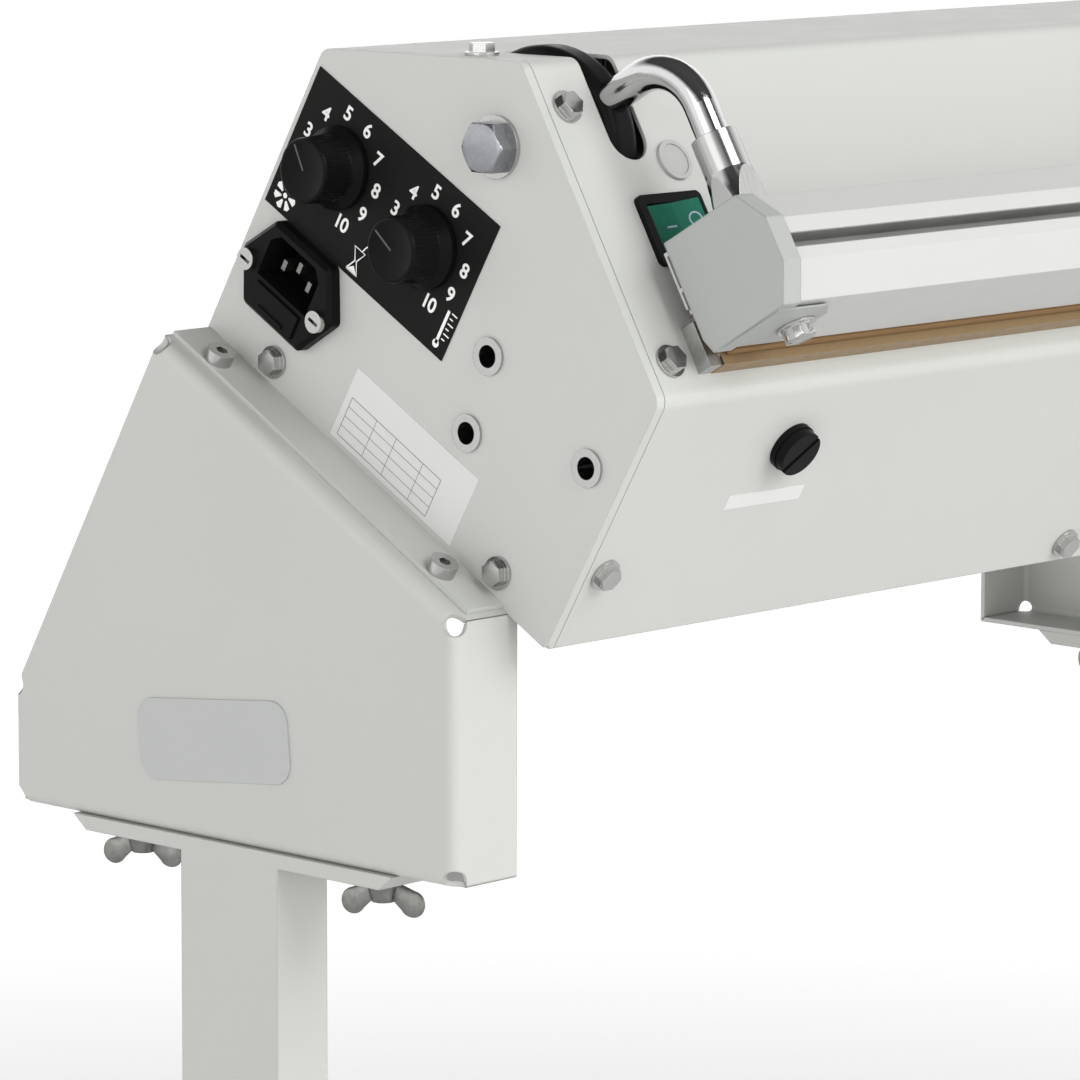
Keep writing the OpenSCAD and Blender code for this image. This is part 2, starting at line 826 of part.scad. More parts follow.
module control_overlay() {
    color(black) on_end_plate() difference() {
        translate([overlay_u, overlay_v, 0]) cube([overlay_length, overlay_height, 0.5]);
        for (u = dials)
            translate([u, dial_v, 0]) hole(bush_diameter + fit_gap, 4);
    }
}

module dial(u) {
    air = 1;
    skirt = 4.5;
    grip = air + skirt - lap;
    on_end_plate() translate([u, dial_v, 0]) {
        translate([0, 0, air]) cylinder(d = knob_skirt, h = skirt);
        translate([0, 0, grip]) cylinder(d1 = knob_grip + 1.5, d2 = knob_grip - 1, h = knob_height - grip);
        translate([0, 0, -8]) cylinder(d = spindle_diameter, h = 10);
    }
}

module heat_dial() {
    color(black) dial(dials[1]);
}

module cooling_dial() {
    color(black) dial(dials[0]);
}

module potentiometers() {
    can = [24, 16];
    bush = 2.8;
    color(steel) for (u = dials)
        on_end_plate() translate([u, dial_v, 0]) difference() {
            union() {
                translate([0, 0, -2 - can[1]]) cylinder(d = can[0], h = can[1]);
                translate([0, 0, -2 - lap]) cylinder(d = bush_diameter, h = bush);
            }
            translate([0, 0, -10]) cylinder(d = spindle_diameter + 2 * shaft_gap, h = 12);
        }
}

module mains_inlet() {
    mouth_v = inlet_v + 5;
    mouth_depth = 17;
    body = 28;
    bevel = 1.6;
    skirt = rounded(inlet_points, [for (p = inlet_points) 2.5]);
    face = rounded(inset(inlet_points, bevel), [for (p = inlet_points) 1.5]);
    mouth = [[-14, -9], [-14, 5], [-10, 9], [10, 9], [14, 5], [14, -9]];
    color(black) on_end_plate() difference() {
        union() {
            translate([inlet_u, inlet_v, 0]) hull() {
                linear_extrude(inlet_flange - bevel) polygon(skirt);
                linear_extrude(inlet_flange) polygon(face);
            }
            box_at([inlet_cut[0] - 1, inlet_cut[1] - 1, body], [inlet_u, inlet_v, lap - body / 2]);
        }
        translate([inlet_u, mouth_v, inlet_flange - mouth_depth])
            linear_extrude(mouth_depth + 1) polygon(mouth);
        box_at([drawer_width + 0.4, drawer_height + 0.4, 60], [inlet_u, drawer_v, 6]);
        pin_set();
        for (side = [-1, 1])
            translate([inlet_u + side * inlet_pitch / 2, inlet_screw_v, 0])
                hole(inlet_screw_hole, plate_hole_depth);
    }
}

module pin_set() {
    blade = [2, 4, 20];
    for (p = [[-7, 3.5], [0, 7], [7, 3.5]])
        box_at(blade, [inlet_u + p[0], inlet_v + p[1], inlet_flange - 14]);
}

module inlet_pins() {
    color(steel) on_end_plate() pin_set();
}

module inlet_screws() {
    head = [8, 2.2];
    slot = [5, 1.2, 4];
    shank = 3;
    color(zinc) for (side = [-1, 1])
        on_end_plate() translate([inlet_u + side * inlet_pitch / 2, inlet_screw_v, 0]) {
            difference() {
                translate([0, 0, inlet_flange]) cylinder(d = head[0], h = head[1]);
                translate([0, 0, inlet_flange + 1]) cube(slot, center = true);
            }
            translate([0, 0, -5]) cylinder(d = shank, h = 5 + lap + inlet_flange);
        }
}

module fuse_drawer() {
    grip = [14, 1.2, 0.9];
    color(black) on_end_plate() {
        box_at([drawer_width, drawer_height, 24], [inlet_u, drawer_v, inlet_flange - 11]);
        box_at(grip, [inlet_u, drawer_v - 3, inlet_flange + 1.3]);
    }
}

module rating_label() {
    label = [68.5, 28.5, 0.2];
    label_u = 71;
    label_v = 4.2;
    color("white") on_end_plate() translate([label_u, label_v, 0]) cube(label);
}

module badge() {
    badge_length = 78;
    badge_height = 30;
    badge_round = 8;
    badge_lean = 6;
    badge_sheet = 0.6;
    badge_place = [-30, -144];
    color([0.7, 0.72, 0.75]) on_head() translate([head_face, badge_place[0], badge_place[1]])
        rotate([90, 0, -90]) rotate([0, 0, badge_lean]) linear_extrude(badge_sheet) offset(badge_round)
            square([badge_length - 2 * badge_round, badge_height - 2 * badge_round], center = true);
}

// ---------- controls on the front ----------

module rocker_bezel() {
    window = [25.4, 19.4];
    color(black) on_front_panel() translate([rocker_x, -rocker_s, 0]) difference() {
        union() {
            linear_extrude(2) offset(2.5)
                square([rocker_length - 5, rocker_width - 5], center = true);
            box_at([rocker_cut_x, rocker_cut_s, rocker_depth], [0, 0, -rocker_depth / 2 + 0.1]);
        }
        box_at([window[0], window[1], 20], [0, 0, 1]);
        translate([0, 0, -2]) rotate([90, 0, 0])
            cylinder(d = rocker_pin + 2 * shaft_gap, h = 21.4, center = true);
    }
}

module rocker_paddle() {
    color([0.16, 0.40, 0.32]) on_front_panel() translate([rocker_x, -rocker_s, -2])
        rotate([0, -rocker_tilt, 0]) rotate([90, 0, 0]) translate([0, 0, -9.4]) linear_extrude(18.8)
            polygon([[-10.5, -3], [10.5, -3], [11.9, 4.9], [0, 4], [-11.9, 4.9]]);
    color([0.16, 0.40, 0.32]) at_rocker_pin() cylinder(d = rocker_pin, h = 21, center = true);
}

module at_rocker_pin() {
    on_front_panel() translate([rocker_x, -rocker_s, -2]) rotate([90, 0, 0]) children();
}

module hole_plug() {
    color([0.66, 0.66, 0.65]) on_front_panel() translate([plug_x, -plug_s, 0]) difference() {
        union() {
            cylinder(d = plug_diameter, h = 1.5);
            translate([0, 0, -6]) cylinder(d = plug_hole, h = 6.1);
        }
        translate([0, 0, 1]) cylinder(d = plug_diameter - 3, h = 2);
        translate([0, 0, -7]) cylinder(d = plug_hole - 3, h = 6.5);
    }
}

module fuse_holder() {
    depth = 34;
    color(black) on_front_wall() translate([fuse_x, fuse_v, 0]) difference() {
        union() {
            cylinder(d = fuse_diameter, h = fuse_rim);
            translate([0, 0, -depth]) cylinder(d = fuse_body, h = depth + lap);
        }
        translate([0, 0, -30]) cylinder(d = fuse_bore, h = 40);
    }
}

module fuse_cap() {
    seat = fuse_rim + 0.1;
    slot_turn = 48;
    color(black) on_front_wall() translate([fuse_x, fuse_v, 0]) difference() {
        union() {
            translate([0, 0, seat]) cylinder(d = fuse_diameter - 1, h = fuse_stand - seat);
            translate([0, 0, -12]) cylinder(d = fuse_bore - 0.1, h = 12 + seat + lap);
        }
        translate([0, 0, fuse_stand]) rotate([0, 0, slot_turn])
            cube([fuse_diameter + 2, 2, 3], center = true);
    }
}

module fuse_label() {
    label = [40, 6, 0.2];
    color("white") on_front_wall() translate([fuse_x - 20.8, fuse_v - 25.4, 0]) cube(label);
}

// ---------- jaw ----------

module jaw_rail() {
    inset_x = jaw_inset + clamp_width;
    color(steel) on_front_panel() translate([inset_x, -jaw_place - jaw_width, 0])
        cube([body_length - 2 * inset_x, jaw_width, jaw_height]);
}

module jaw_insulation() {
    inset_x = jaw_inset + clamp_width;
    margin = 3;
    color([0.85, 0.80, 0.70]) on_front_panel()
        translate([inset_x, -jaw_place - jaw_width + margin, jaw_height])
            cube([body_length - 2 * inset_x, jaw_width - 2 * margin, insulation_sheet]);
}

module heating_band() {
    inset_x = jaw_inset + clamp_width;
    middle = jaw_place + jaw_width / 2;
    color(steel) on_front_panel()
        translate([inset_x, -middle - element_width / 2, jaw_height + insulation_sheet])
            cube([body_length - 2 * inset_x, element_width, element_sheet]);
}

module release_tape() {
    inset_x = jaw_inset + clamp_width + fit_gap;
    air = 0.1;
    out = tape_sheet + air;
    color([0.62, 0.50, 0.35]) difference() {
        panel_prism(inset_x, body_length - inset_x)
            translate([jaw_place - out, 0]) square([jaw_width + 2 * out, jaw_top + out]);
        panel_prism(jaw_inset, body_length - jaw_inset)
            translate([jaw_place - air, -cut]) square([jaw_width + 2 * air, jaw_top + air + cut]);
    }
}

module jaw_clamps() {
    color(steel) both_ends() {
        on_front_panel() translate([jaw_inset, -jaw_place - jaw_width - 0.3, 0])
            cube([clamp_width, jaw_width - 3, jaw_height]);
        at_clamp_pin() translate([0, 0, -12]) cylinder(d = clamp_pin, h = 12 + lap);
    }
}

module at_clamp_pin() {
    on_front_panel() translate([jaw_inset + clamp_width / 2, -jaw_place - jaw_width / 2, 0]) children();
}

// ---------- inside ----------

module transformer_core() {
    color([0.35, 0.33, 0.32]) at_transformer() difference() {
        box_at(core_size, [0, 0, 0]);
        box_at([core_window[0], core_size[1] + 2 * cut, core_window[1]], [0, 0, 0]);
    }
}

module transformer_winding() {
    color([0.72, 0.42, 0.20]) at_transformer() difference() {
        box_at([core_window[0] - 8, core_size[1] + 24, core_window[1] - 2], [0, 0, 0]);
        box_at([core_window[0] - 38, core_size[1] + 2 * fit_gap, core_window[1]], [0, 0, 0]);
    }
}

module at_transformer() {
    in_body() translate([half_length + 20, 2.5 - body_depth / 2, tray_sheet + core_size[2] / 2]) children();
}

module control_board() {
    board = [100, 80, 1.6];
    board_x = 150;
    board_u = body_depth / 2 + 7.5;
    color([0.10, 0.36, 0.20]) in_body() {
        box_at(board, [board_x, -board_u, tray_sheet + 10]);
        for (x = [-1, 1], y = [-1, 1])
            translate([board_x + x * (board[0] / 2 - 6), -board_u + y * (board[1] / 2 - 6), tray_sheet])
                cylinder(d = 6, h = 10);
        box_at([30, 24, 18], [board_x - 20, -board_u, tray_sheet + 19]);
        box_at([16, 16, 26], [board_x + 22, -board_u + 12, tray_sheet + 23]);
        box_at([60, 9, 12], [board_x, -board_u - 33, tray_sheet + 16]);
    }
}

module electromagnets() {
    yoke = [36, 5];
    color([0.30, 0.30, 0.33]) both_ends() in_body() {
        translate([lever_x, -magnet_face, magnet_height]) rotate([-90, 0, 0])
            cylinder(d = magnet_diameter, h = magnet_length);
        translate([lever_x - yoke[0] / 2, -magnet_face + magnet_length - lap, tray_sheet])
            cube([yoke[0], yoke[1], magnet_height + 14]);
        translate([lever_x - yoke[0] / 2, -magnet_face + magnet_length - 22, tray_sheet])
            cube([yoke[0], 24, 4]);
    }
}

module return_springs() {
    turns = 7;
    wire = 2.6;
    coil = 22;
    pitch = wire * 0.9;
    first_x = lever_x + lever_sheet / 2 + wire / 2;
    leg = pivot_drop * cos(panel_slope) - cover_sheet;
    color(steel) both_ends() at_pivot() {
        translate([first_x, 0, 0]) rotate([0, 90, 0])
            rotate_extrude() for (i = [0 : turns - 1])
                translate([coil / 2, i * pitch]) circle(d = wire, $fn = 16);
        translate([first_x + (turns - 1) * pitch, 0, 0]) rotate([-panel_slope, 0, 0])
            translate([0, 0, coil / 2]) cylinder(d = wire * 0.9, h = leg - coil / 2, $fn = 16);
    }
}

module pivot_shaft() {
    color(steel) at_pivot() rod(shaft_diameter, 14, body_length - 14);
}

// half section of a drum with round rims
module drum_profile() {
    rim = 4;
    intersection() {
        translate([0, -drum_width / 2]) square([drum_radius, drum_width]);
        union() {
            translate([0, -drum_width / 2]) square([drum_radius - rim, drum_width]);
            translate([0, rim - drum_width / 2]) square([drum_radius, drum_width - 2 * rim]);
            for (side = [-1, 1])
                translate([drum_radius - rim, side * (drum_width / 2 - rim)]) circle(rim);
        }
    }
}

module drums() {
    color(black) both_ends() difference() {
        at_pivot() translate([drum_inset, 0, 0]) rotate([0, 90, 0]) rotate_extrude($fn = 96)
            drum_profile();
        at_pivot() rod(shaft_diameter, 0, 60);
        on_front_panel() translate([drum_inset, -tube_s, -8]) cylinder(d = tube_diameter, h = 40);
    }
}

module closing_levers() {
    hub = 30;
    plate = 26;
    color(steel) both_ends() difference() {
        union() {
            at_pivot() rod(hub, lever_x - lever_sheet / 2, lever_x + lever_sheet / 2);
            at_pivot() box_at([lever_sheet, 16, lever_length - 6], [lever_x, -4, -lever_length / 2]);
            at_pivot() box_at([plate, 6, 30], [lever_x, 2, -70]);
        }
        at_pivot() rod(shaft_diameter, 0, 80);
    }
}

// ---------- arm ----------

// centre line of a tube: out of the drum, over one bend, then along the panel into the sleeve
module tube_path(d, far) {
    leg = tube_lift - tube_bend;
    on_front_panel() translate([drum_inset, -tube_s, 0]) {
        translate([0, 0, -8]) cylinder(d = d, h = leg + 8);
        translate([0, -tube_bend, leg]) rotate([90, 0, 90]) rotate_extrude(angle = 90)
            translate([tube_bend, 0]) circle(d = d);
        translate([0, -tube_bend, tube_lift]) rotate([90, 0, 0]) cylinder(d = d, h = far);
    }
}

module arm_tubes() {
    color([0.85, 0.85, 0.87]) both_ends()
        tube_path(tube_diameter, sleeve_start + tube_grip - tube_s - tube_bend);
}

// the part of a sleeve inside the bar, larger by the gap on every side
module sleeve_foot(from_s, to_s, gap) {
    on_front_panel() translate([drum_inset, -to_s, tube_lift]) rotate([-90, 0, 0])
        linear_extrude(to_s - from_s) square([foot_width + 2 * gap, foot_thickness + 2 * gap], center = true);
}

// the lower end of a sleeve, pressed from round to a rectangle, along its own axis
module pressed_end() {
    length = bar_top_s - crush_start;
    start = sleeve_diameter / 2 + 0.1;
    half_width = foot_width / 2 - 0.05;
    half_thickness = foot_thickness / 2 - 0.05;
    far = 4 * sleeve_diameter;
    difference() {
        cylinder(d1 = sleeve_diameter, d2 = 2 * norm([half_width, half_thickness]) - 1, h = length + 0.1);
        for (side = [0, 1]) {
            mirror([0, side, 0]) translate([0, start, 0]) rotate([atan((start - half_thickness) / length), 0, 0])
                translate([-far / 2, 0, -far / 2]) cube(far);
            mirror([side, 0, 0]) translate([start, 0, 0]) rotate([0, atan((half_width - start) / length), 0])
                translate([0, -far / 2, -far / 2]) cube(far);
        }
    }
}

module tube_sleeves() {
    color([0.80, 0.80, 0.82]) both_ends() difference() {
        union() {
            on_front_panel() translate([drum_inset, -sleeve_start, tube_lift]) rotate([90, 0, 0])
                cylinder(d = sleeve_diameter, h = crush_start - sleeve_start + 0.1);
            on_front_panel() translate([drum_inset, -crush_start, tube_lift]) rotate([90, 0, 0])
                pressed_end();
            sleeve_foot(bar_top_s, bar_top_s + foot_depth, 0);
        }
        on_front_panel() translate([drum_inset, -sleeve_start + cut, tube_lift]) rotate([90, 0, 0])
            cylinder(d = tube_diameter, h = tube_grip + cut);
    }
}

module bar_section() {
    translate([0, bar_lift]) difference() {
        polygon(bar_outline);
        translate([groove_s, groove_floor]) square([groove_width, 20]);
        translate([groove_s - 2, groove_floor]) square([groove_width + 4, 5]);
        // hollow chambers of the extrusion
        translate([bar_top_s + 3, 3]) square([10.5, 30]);
        translate([bar_top_s + 17, 3]) square([18, 27]);
        // foot slots for the strip
        translate([jaw_place + 6, -cut]) square([8, cut + 1.6]);
    }
}

// open channel of the extrusion on the side toward the panel, with a hook beside it
module bar_channel() {
    low = bar_lift - channel_drop;
    from_x = bar_inset;
    to_x = body_length - bar_inset;
    panel_prism(from_x, to_x) translate([bar_top_s + 2, low]) square([21.2, 1]);
    for (s = [2, 15.5])
        panel_prism(from_x, to_x) translate([bar_top_s + s, low]) square([1.5, channel_drop + 0.5]);
    panel_prism(from_x, to_x) translate([bar_top_s + 23.9, low + 1]) square([1.4, channel_drop - 0.5]);
}

module seal_bar() {
    color([0.86, 0.86, 0.85]) difference() {
        union() {
            panel_prism(bar_inset, body_length - bar_inset) bar_section();
            bar_channel();
        }
        both_ends() sleeve_foot(bar_top_s - cut, bar_top_s + foot_depth, 0);
        both_ends() at_cap_screw() hole(screw_hole, plate_hole_depth);
    }
}

module at_cap_screw() {
    on_front_panel() translate([cap_screw_x, -bar_front_s - cap_sheet - lap, bar_lift + 19.5])
        rotate([90, 0, 0]) children();
}

module bar_end_caps() {
    wrap = 8;
    tab = 32;
    tab_cut = 7;
    tab_height = 29;
    outer = [for (p = bar_outline) [p[0], p[1] + bar_lift]];
    grown = inset(outer, -cap_sheet - 0.1);
    color([0.68, 0.69, 0.68]) both_ends() {
        panel_prism(bar_inset - 0.1 - cap_sheet, bar_inset - 0.1) polygon(grown);
        difference() {
            panel_prism(bar_inset - 0.2, bar_inset + wrap) difference() {
                polygon(grown);
                polygon(inset(outer, -0.1));
                translate([0, -50]) square([bar_top_s + 30, 50 + bar_lift + 34]);
            }
            both_ends() at_cap_screw() hole(screw_hole, plate_hole_depth);
        }
        difference() {
            on_front_panel() translate([bar_inset - 0.2, -bar_front_s - lap, bar_lift + 5])
                rotate([90, 0, 0]) linear_extrude(cap_sheet) polygon([[0, 0], [tab, 0],
                    [tab, tab_height - tab_cut], [tab - tab_cut, tab_height], [0, tab_height]]);
            at_cap_screw() hole(screw_hole, plate_hole_depth);
        }
        at_cap_screw() {
            cylinder(d = 14.5, h = 1.2);
            translate([0, 0, 1.2]) cylinder(d = 11.5, h = 4.4, $fn = 6);
            translate([0, 0, -6]) cylinder(d = 5, h = 6.1);
        }
    }
}

module silicone_strip() {
    color([0.75, 0.30, 0.18]) on_front_panel()
        translate([jaw_inset + 8, -jaw_place - jaw_width / 2 - strip_width / 2, bar_lift - strip_height])
            cube([body_length - 2 * (jaw_inset + 8), strip_width, strip_height]);
}

module knife_carriage() {
    park_x = body_length - 75;
    length = 34;
    middle_s = groove_s + groove_width / 2;
    color(black) on_front_panel() translate([park_x, 0, 0]) {
        box_at([length, groove_width - 0.6, groove_depth + 4], [0, -middle_s, bar_lift + 43.9 - 2.4]);
        box_at([length, 14, 5], [0, -middle_s, bar_lift + 43.9 + 2.9]);
        translate([0, -middle_s, bar_lift + 49]) cylinder(d1 = 12, d2 = 18, h = 14);
    }
}

left_end_plate();
right_end_plate();
front_cover();
rear_cover();
base_tray();
left_stand_head();
right_stand_head();
left_post();
right_post();
left_foot();
right_foot();
foot_end_caps();
levelling_feet();
cross_tie();
tie_bolts();
foot_bolts();
head_studs();
wing_nuts();
foot_flange_screws();
tray_screws();
cover_screws();
rivet_nuts();
hex_bolts();
bolt_washers();
bearing_blocks();
control_overlay();
heat_dial();
cooling_dial();
potentiometers();
mains_inlet();
inlet_pins();
inlet_screws();
fuse_drawer();
rating_label();
badge();
rocker_bezel();
rocker_paddle();
hole_plug();
fuse_holder();
fuse_cap();
fuse_label();
jaw_rail();
jaw_insulation();
heating_band();
release_tape();
jaw_clamps();
transformer_core();
transformer_winding();
control_board();
electromagnets();
return_springs();
pivot_shaft();
drums();
closing_levers();
arm_tubes();
tube_sleeves();
seal_bar();
bar_end_caps();
silicone_strip();
knife_carriage();
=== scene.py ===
import json
import math

import bmesh
import bpy
from mathutils import Matrix, Vector


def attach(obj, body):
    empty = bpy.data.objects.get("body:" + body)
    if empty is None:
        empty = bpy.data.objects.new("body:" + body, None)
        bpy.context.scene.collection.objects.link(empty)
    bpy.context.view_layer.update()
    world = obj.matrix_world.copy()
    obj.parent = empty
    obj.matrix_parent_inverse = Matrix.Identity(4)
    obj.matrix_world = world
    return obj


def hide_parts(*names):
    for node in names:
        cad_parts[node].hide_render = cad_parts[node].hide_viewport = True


# Looks of an impulse heat sealer on a floor stand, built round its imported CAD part.
# The object and the floor are in millimetres until a matrix turns them to metres.
# Materials, lamps and the camera are in metres.

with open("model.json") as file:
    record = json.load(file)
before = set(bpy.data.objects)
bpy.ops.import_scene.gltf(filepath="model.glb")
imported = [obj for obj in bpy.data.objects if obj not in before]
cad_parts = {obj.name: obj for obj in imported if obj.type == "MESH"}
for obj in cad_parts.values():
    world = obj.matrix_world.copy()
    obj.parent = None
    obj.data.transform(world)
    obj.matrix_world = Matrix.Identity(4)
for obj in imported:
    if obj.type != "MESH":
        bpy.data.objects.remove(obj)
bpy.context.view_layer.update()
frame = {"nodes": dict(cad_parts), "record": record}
MM = 0.001

# ---------------------------------------------------------------- places, in millimetres

HALF_LENGTH = 275
BODY_RISE = 900
BODY_SETBACK = 75
TILT = math.radians(30)
SLOPE = math.radians(30)
BACK_HEIGHT = 121
RIDGE_DEPTH = 83
RIDGE_HEIGHT = BACK_HEIGHT + RIDGE_DEPTH * math.tan(SLOPE)

X = Vector((1, 0, 0))
Z = Vector((0, 0, 1))
# U runs along the base of the leaning body toward the operator, and V stands square on it
U = Vector((0, -math.cos(TILT), -math.sin(TILT)))
V = Vector((0, -math.sin(TILT), math.cos(TILT)))
# the front upper panel runs down from the ridge
DOWN_PANEL = math.cos(SLOPE) * U - math.sin(SLOPE) * V
OFF_PANEL = math.sin(SLOPE) * U + math.cos(SLOPE) * V
BODY_ORIGIN = Vector((-HALF_LENGTH, BODY_SETBACK, BODY_RISE))
RIDGE = BODY_ORIGIN + U * RIDGE_DEPTH + V * RIDGE_HEIGHT


def place(origin, across, up, out):
    """A matrix from local millimetres, across, up and out, to the row frame in metres."""
    turn = Matrix((across, up, out)).transposed().to_4x4()
    return Matrix.Translation(origin * MM) @ turn @ Matrix.Scale(MM, 4)


def on_plate(u, v, out=0.0):
    """On the outer face of the left end plate."""
    return place(BODY_ORIGIN + U * u + V * v - X * out, U, V, -X)


def on_panel(x, s, h=0.0):
    """On the front upper panel, s down from the ridge."""
    return place(RIDGE + X * x + DOWN_PANEL * s + OFF_PANEL * h, X, -DOWN_PANEL, OFF_PANEL)


# ---------------------------------------------------------------- mesh helpers

SHARP_ANGLE = math.radians(35)
GLYPH_WEIGHT = 0.022
GLYPH_SPACING = 0.9


def piece(name, bm, matrix, body, material, smooth=True):
    """A finished mesh object from a bmesh in local millimetres."""
    bmesh.ops.recalc_face_normals(bm, faces=bm.faces)
    mesh = bpy.data.meshes.new(name)
    bm.to_mesh(mesh)
    bm.free()
    mesh.transform(matrix)
    if matrix.determinant() < 0:
        mesh.flip_normals()
    obj = bpy.data.objects.new(name, mesh)
    bpy.context.scene.collection.objects.link(obj)
    mesh.materials.append(material)
    for face in mesh.polygons:
        face.use_smooth = smooth
    if smooth:
        mesh.set_sharp_from_angle(angle=SHARP_ANGLE)
    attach(obj, body)
    return obj


def prism(bm, outline, low, high):
    """A closed flat outline pulled from low to high."""
    bottom = [bm.verts.new((x, y, low)) for x, y in outline]
    top = [bm.verts.new((x, y, high)) for x, y in outline]
    bm.faces.new(top)
    bm.faces.new(list(reversed(bottom)))
    count = len(outline)
    for i in range(count):
        j = (i + 1) % count
        bm.faces.new((bottom[i], bottom[j], top[j], top[i]))


def ring(bm, centre, inner, outer, low, high, steps=40):
    """A flat ring as a closed band."""
    loops = []
    for radius, height in ((outer, low), (outer, high), (inner, high), (inner, low)):
        loops.append([
            bm.verts.new((centre[0] + radius * math.cos(a), centre[1] + radius * math.sin(a), height))
            for a in (2 * math.pi * i / steps for i in range(steps))
        ])
    for k in range(4):
        a, b = loops[k], loops[(k + 1) % 4]
        for i in range(steps):
            j = (i + 1) % steps
            bm.faces.new((a[i], a[j], b[j], b[i]))


def stroke(bm, points, width, low, high):
    """A line of even width along points, as a closed ribbon."""
    left, right = [], []
    for i, (x, y) in enumerate(points):
        x0, y0 = points[max(i - 1, 0)]
        x1, y1 = points[min(i + 1, len(points) - 1)]
        length = math.hypot(x1 - x0, y1 - y0)
        nx, ny = -(y1 - y0) / length * width / 2, (x1 - x0) / length * width / 2
        left.append((x + nx, y + ny))
        right.append((x - nx, y - ny))
    prism(bm, right + left[::-1], low, high)


def circle(cx, cy, radius, steps=32):
    """The points of a round outline."""
    angles = [2 * math.pi * i / steps for i in range(steps)]
    return [(cx + radius * math.cos(a), cy + radius * math.sin(a)) for a in angles]


def lathe(bm, profile, steps, wobble=None):
    """A closed turned form from (radius, height) points; wobble changes a radius."""
    rows = []
    for radius, height in profile:
        if radius == 0:
            rows.append([bm.verts.new((0, 0, height))])
            continue
        row = []
        for i in range(steps):
            angle = 2 * math.pi * i / steps
            r = radius + (wobble(i, radius, height) if wobble else 0)
            row.append(bm.verts.new((r * math.cos(angle), r * math.sin(angle), height)))
        rows.append(row)
    for a, b in zip(rows, rows[1:]):
        for i in range(steps):
            j = (i + 1) % steps
            corners = [a[i % len(a)], a[j % len(a)], b[j % len(b)], b[i % len(b)]]
            unique = list(dict.fromkeys(corners))
            if len(unique) > 2:
                bm.faces.new(unique)


def glyph(text, size, thickness):
    """The flat mesh of a numeral, centred, in local millimetres."""
    curve = bpy.data.curves.new("glyph", "FONT")
    curve.body = text
    curve.size = size
    curve.extrude = thickness / 2
    curve.offset = GLYPH_WEIGHT * size
    curve.align_x = "CENTER"
    curve.align_y = "CENTER"
    curve.space_character = GLYPH_SPACING
    holder = bpy.data.objects.new("glyph", curve)
    bpy.context.scene.collection.objects.link(holder)
    bpy.context.view_layer.update()
    ready = holder.evaluated_get(bpy.context.evaluated_depsgraph_get())
    mesh = bpy.data.meshes.new_from_object(ready)
    bpy.data.objects.remove(holder)
    bpy.data.curves.remove(curve)
    return mesh


# ---------------------------------------------------------------- materials


def shader(name, color, roughness, metallic=0.0, specular=0.5, coat=0.0):
    """A Principled material whose even values sit on its own sockets."""
    m = bpy.data.materials.new(name)
    m.use_nodes = True
    s = m.node_tree.nodes["Principled BSDF"]
    s.inputs["Base Color"].default_value = (*color, 1)
    s.inputs["Roughness"].default_value = roughness
    s.inputs["Metallic"].default_value = metallic
    s.inputs["Specular IOR Level"].default_value = specular
    s.inputs["Coat Weight"].default_value = coat
    return m, m.node_tree, s


def add(tree, kind, **values):
    """A node with its inputs or settings filled in."""
    n = tree.nodes.new(kind)
    for key, value in values.items():
        if key in n.inputs:
            n.inputs[key].default_value = value
        else:
            setattr(n, key, value)
    return n


def noise(tree, scale, detail=2.0, stretch=None):
    """Noise in the part's own metres, so its grain has a real size."""
    where = add(tree, "ShaderNodeTexCoord")
    source = where.outputs["Object"]
    if stretch:
        mapping = add(tree, "ShaderNodeMapping", Scale=stretch)
        tree.links.new(source, mapping.inputs["Vector"])
        source = mapping.outputs["Vector"]
    n = add(tree, "ShaderNodeTexNoise", Scale=scale, Detail=detail, Roughness=0.55)
    tree.links.new(source, n.inputs["Vector"])
    return n.outputs["Fac"]


def tint(tree, s, fac, dark, light):
    """Base colour that drifts between two close tones."""
    ramp = add(tree, "ShaderNodeValToRGB")
    ramp.color_ramp.elements[0].position = 0.32
    ramp.color_ramp.elements[1].position = 0.68
    ramp.color_ramp.elements[0].color = (*dark, 1)
    ramp.color_ramp.elements[1].color = (*light, 1)
    tree.links.new(fac, ramp.inputs["Fac"])
    tree.links.new(ramp.outputs["Color"], s.inputs["Base Color"])


def gloss(tree, s, fac, low, high):
    """Roughness that drifts between two values."""
    spread = add(tree, "ShaderNodeMapRange")
    for key, value in (("From Min", 0.3), ("From Max", 0.7), ("To Min", low), ("To Max", high)):
        spread.inputs[key].default_value = value
    tree.links.new(fac, spread.inputs["Value"])
    tree.links.new(spread.outputs["Result"], s.inputs["Roughness"])


def relief(tree, s, fac, depth, edge=0.0):
    """Bump of a real depth in metres, over edges that are softened by edge metres."""
    bump = add(tree, "ShaderNodeBump", Strength=1.0, Distance=depth)
    tree.links.new(fac, bump.inputs["Height"])
    if edge:
        bevel = add(tree, "ShaderNodeBevel", samples=6)
        bevel.inputs["Radius"].default_value = edge
        tree.links.new(bevel.outputs["Normal"], bump.inputs["Normal"])
    tree.links.new(bump.outputs["Normal"], s.inputs["Normal"])


def shade(color, factor):
    """A colour made lighter or darker."""
    return tuple(min(1, c * factor) for c in color)


def paint(name, color, roughness, peel=0.000012, edge=0.0006):
    """Powder coat: fine orange peel, faint drift in tone and gloss, soft edges."""
    m, tree, s = shader(name, color, roughness, specular=0.42)
    drift = noise(tree, 9, 3)
    tint(tree, s, drift, shade(color, 0.985), shade(color, 1.01))
    gloss(tree, s, noise(tree, 60, 3), roughness - 0.04, roughness + 0.05)
    relief(tree, s, noise(tree, 1100, 2), peel, edge)
    return m


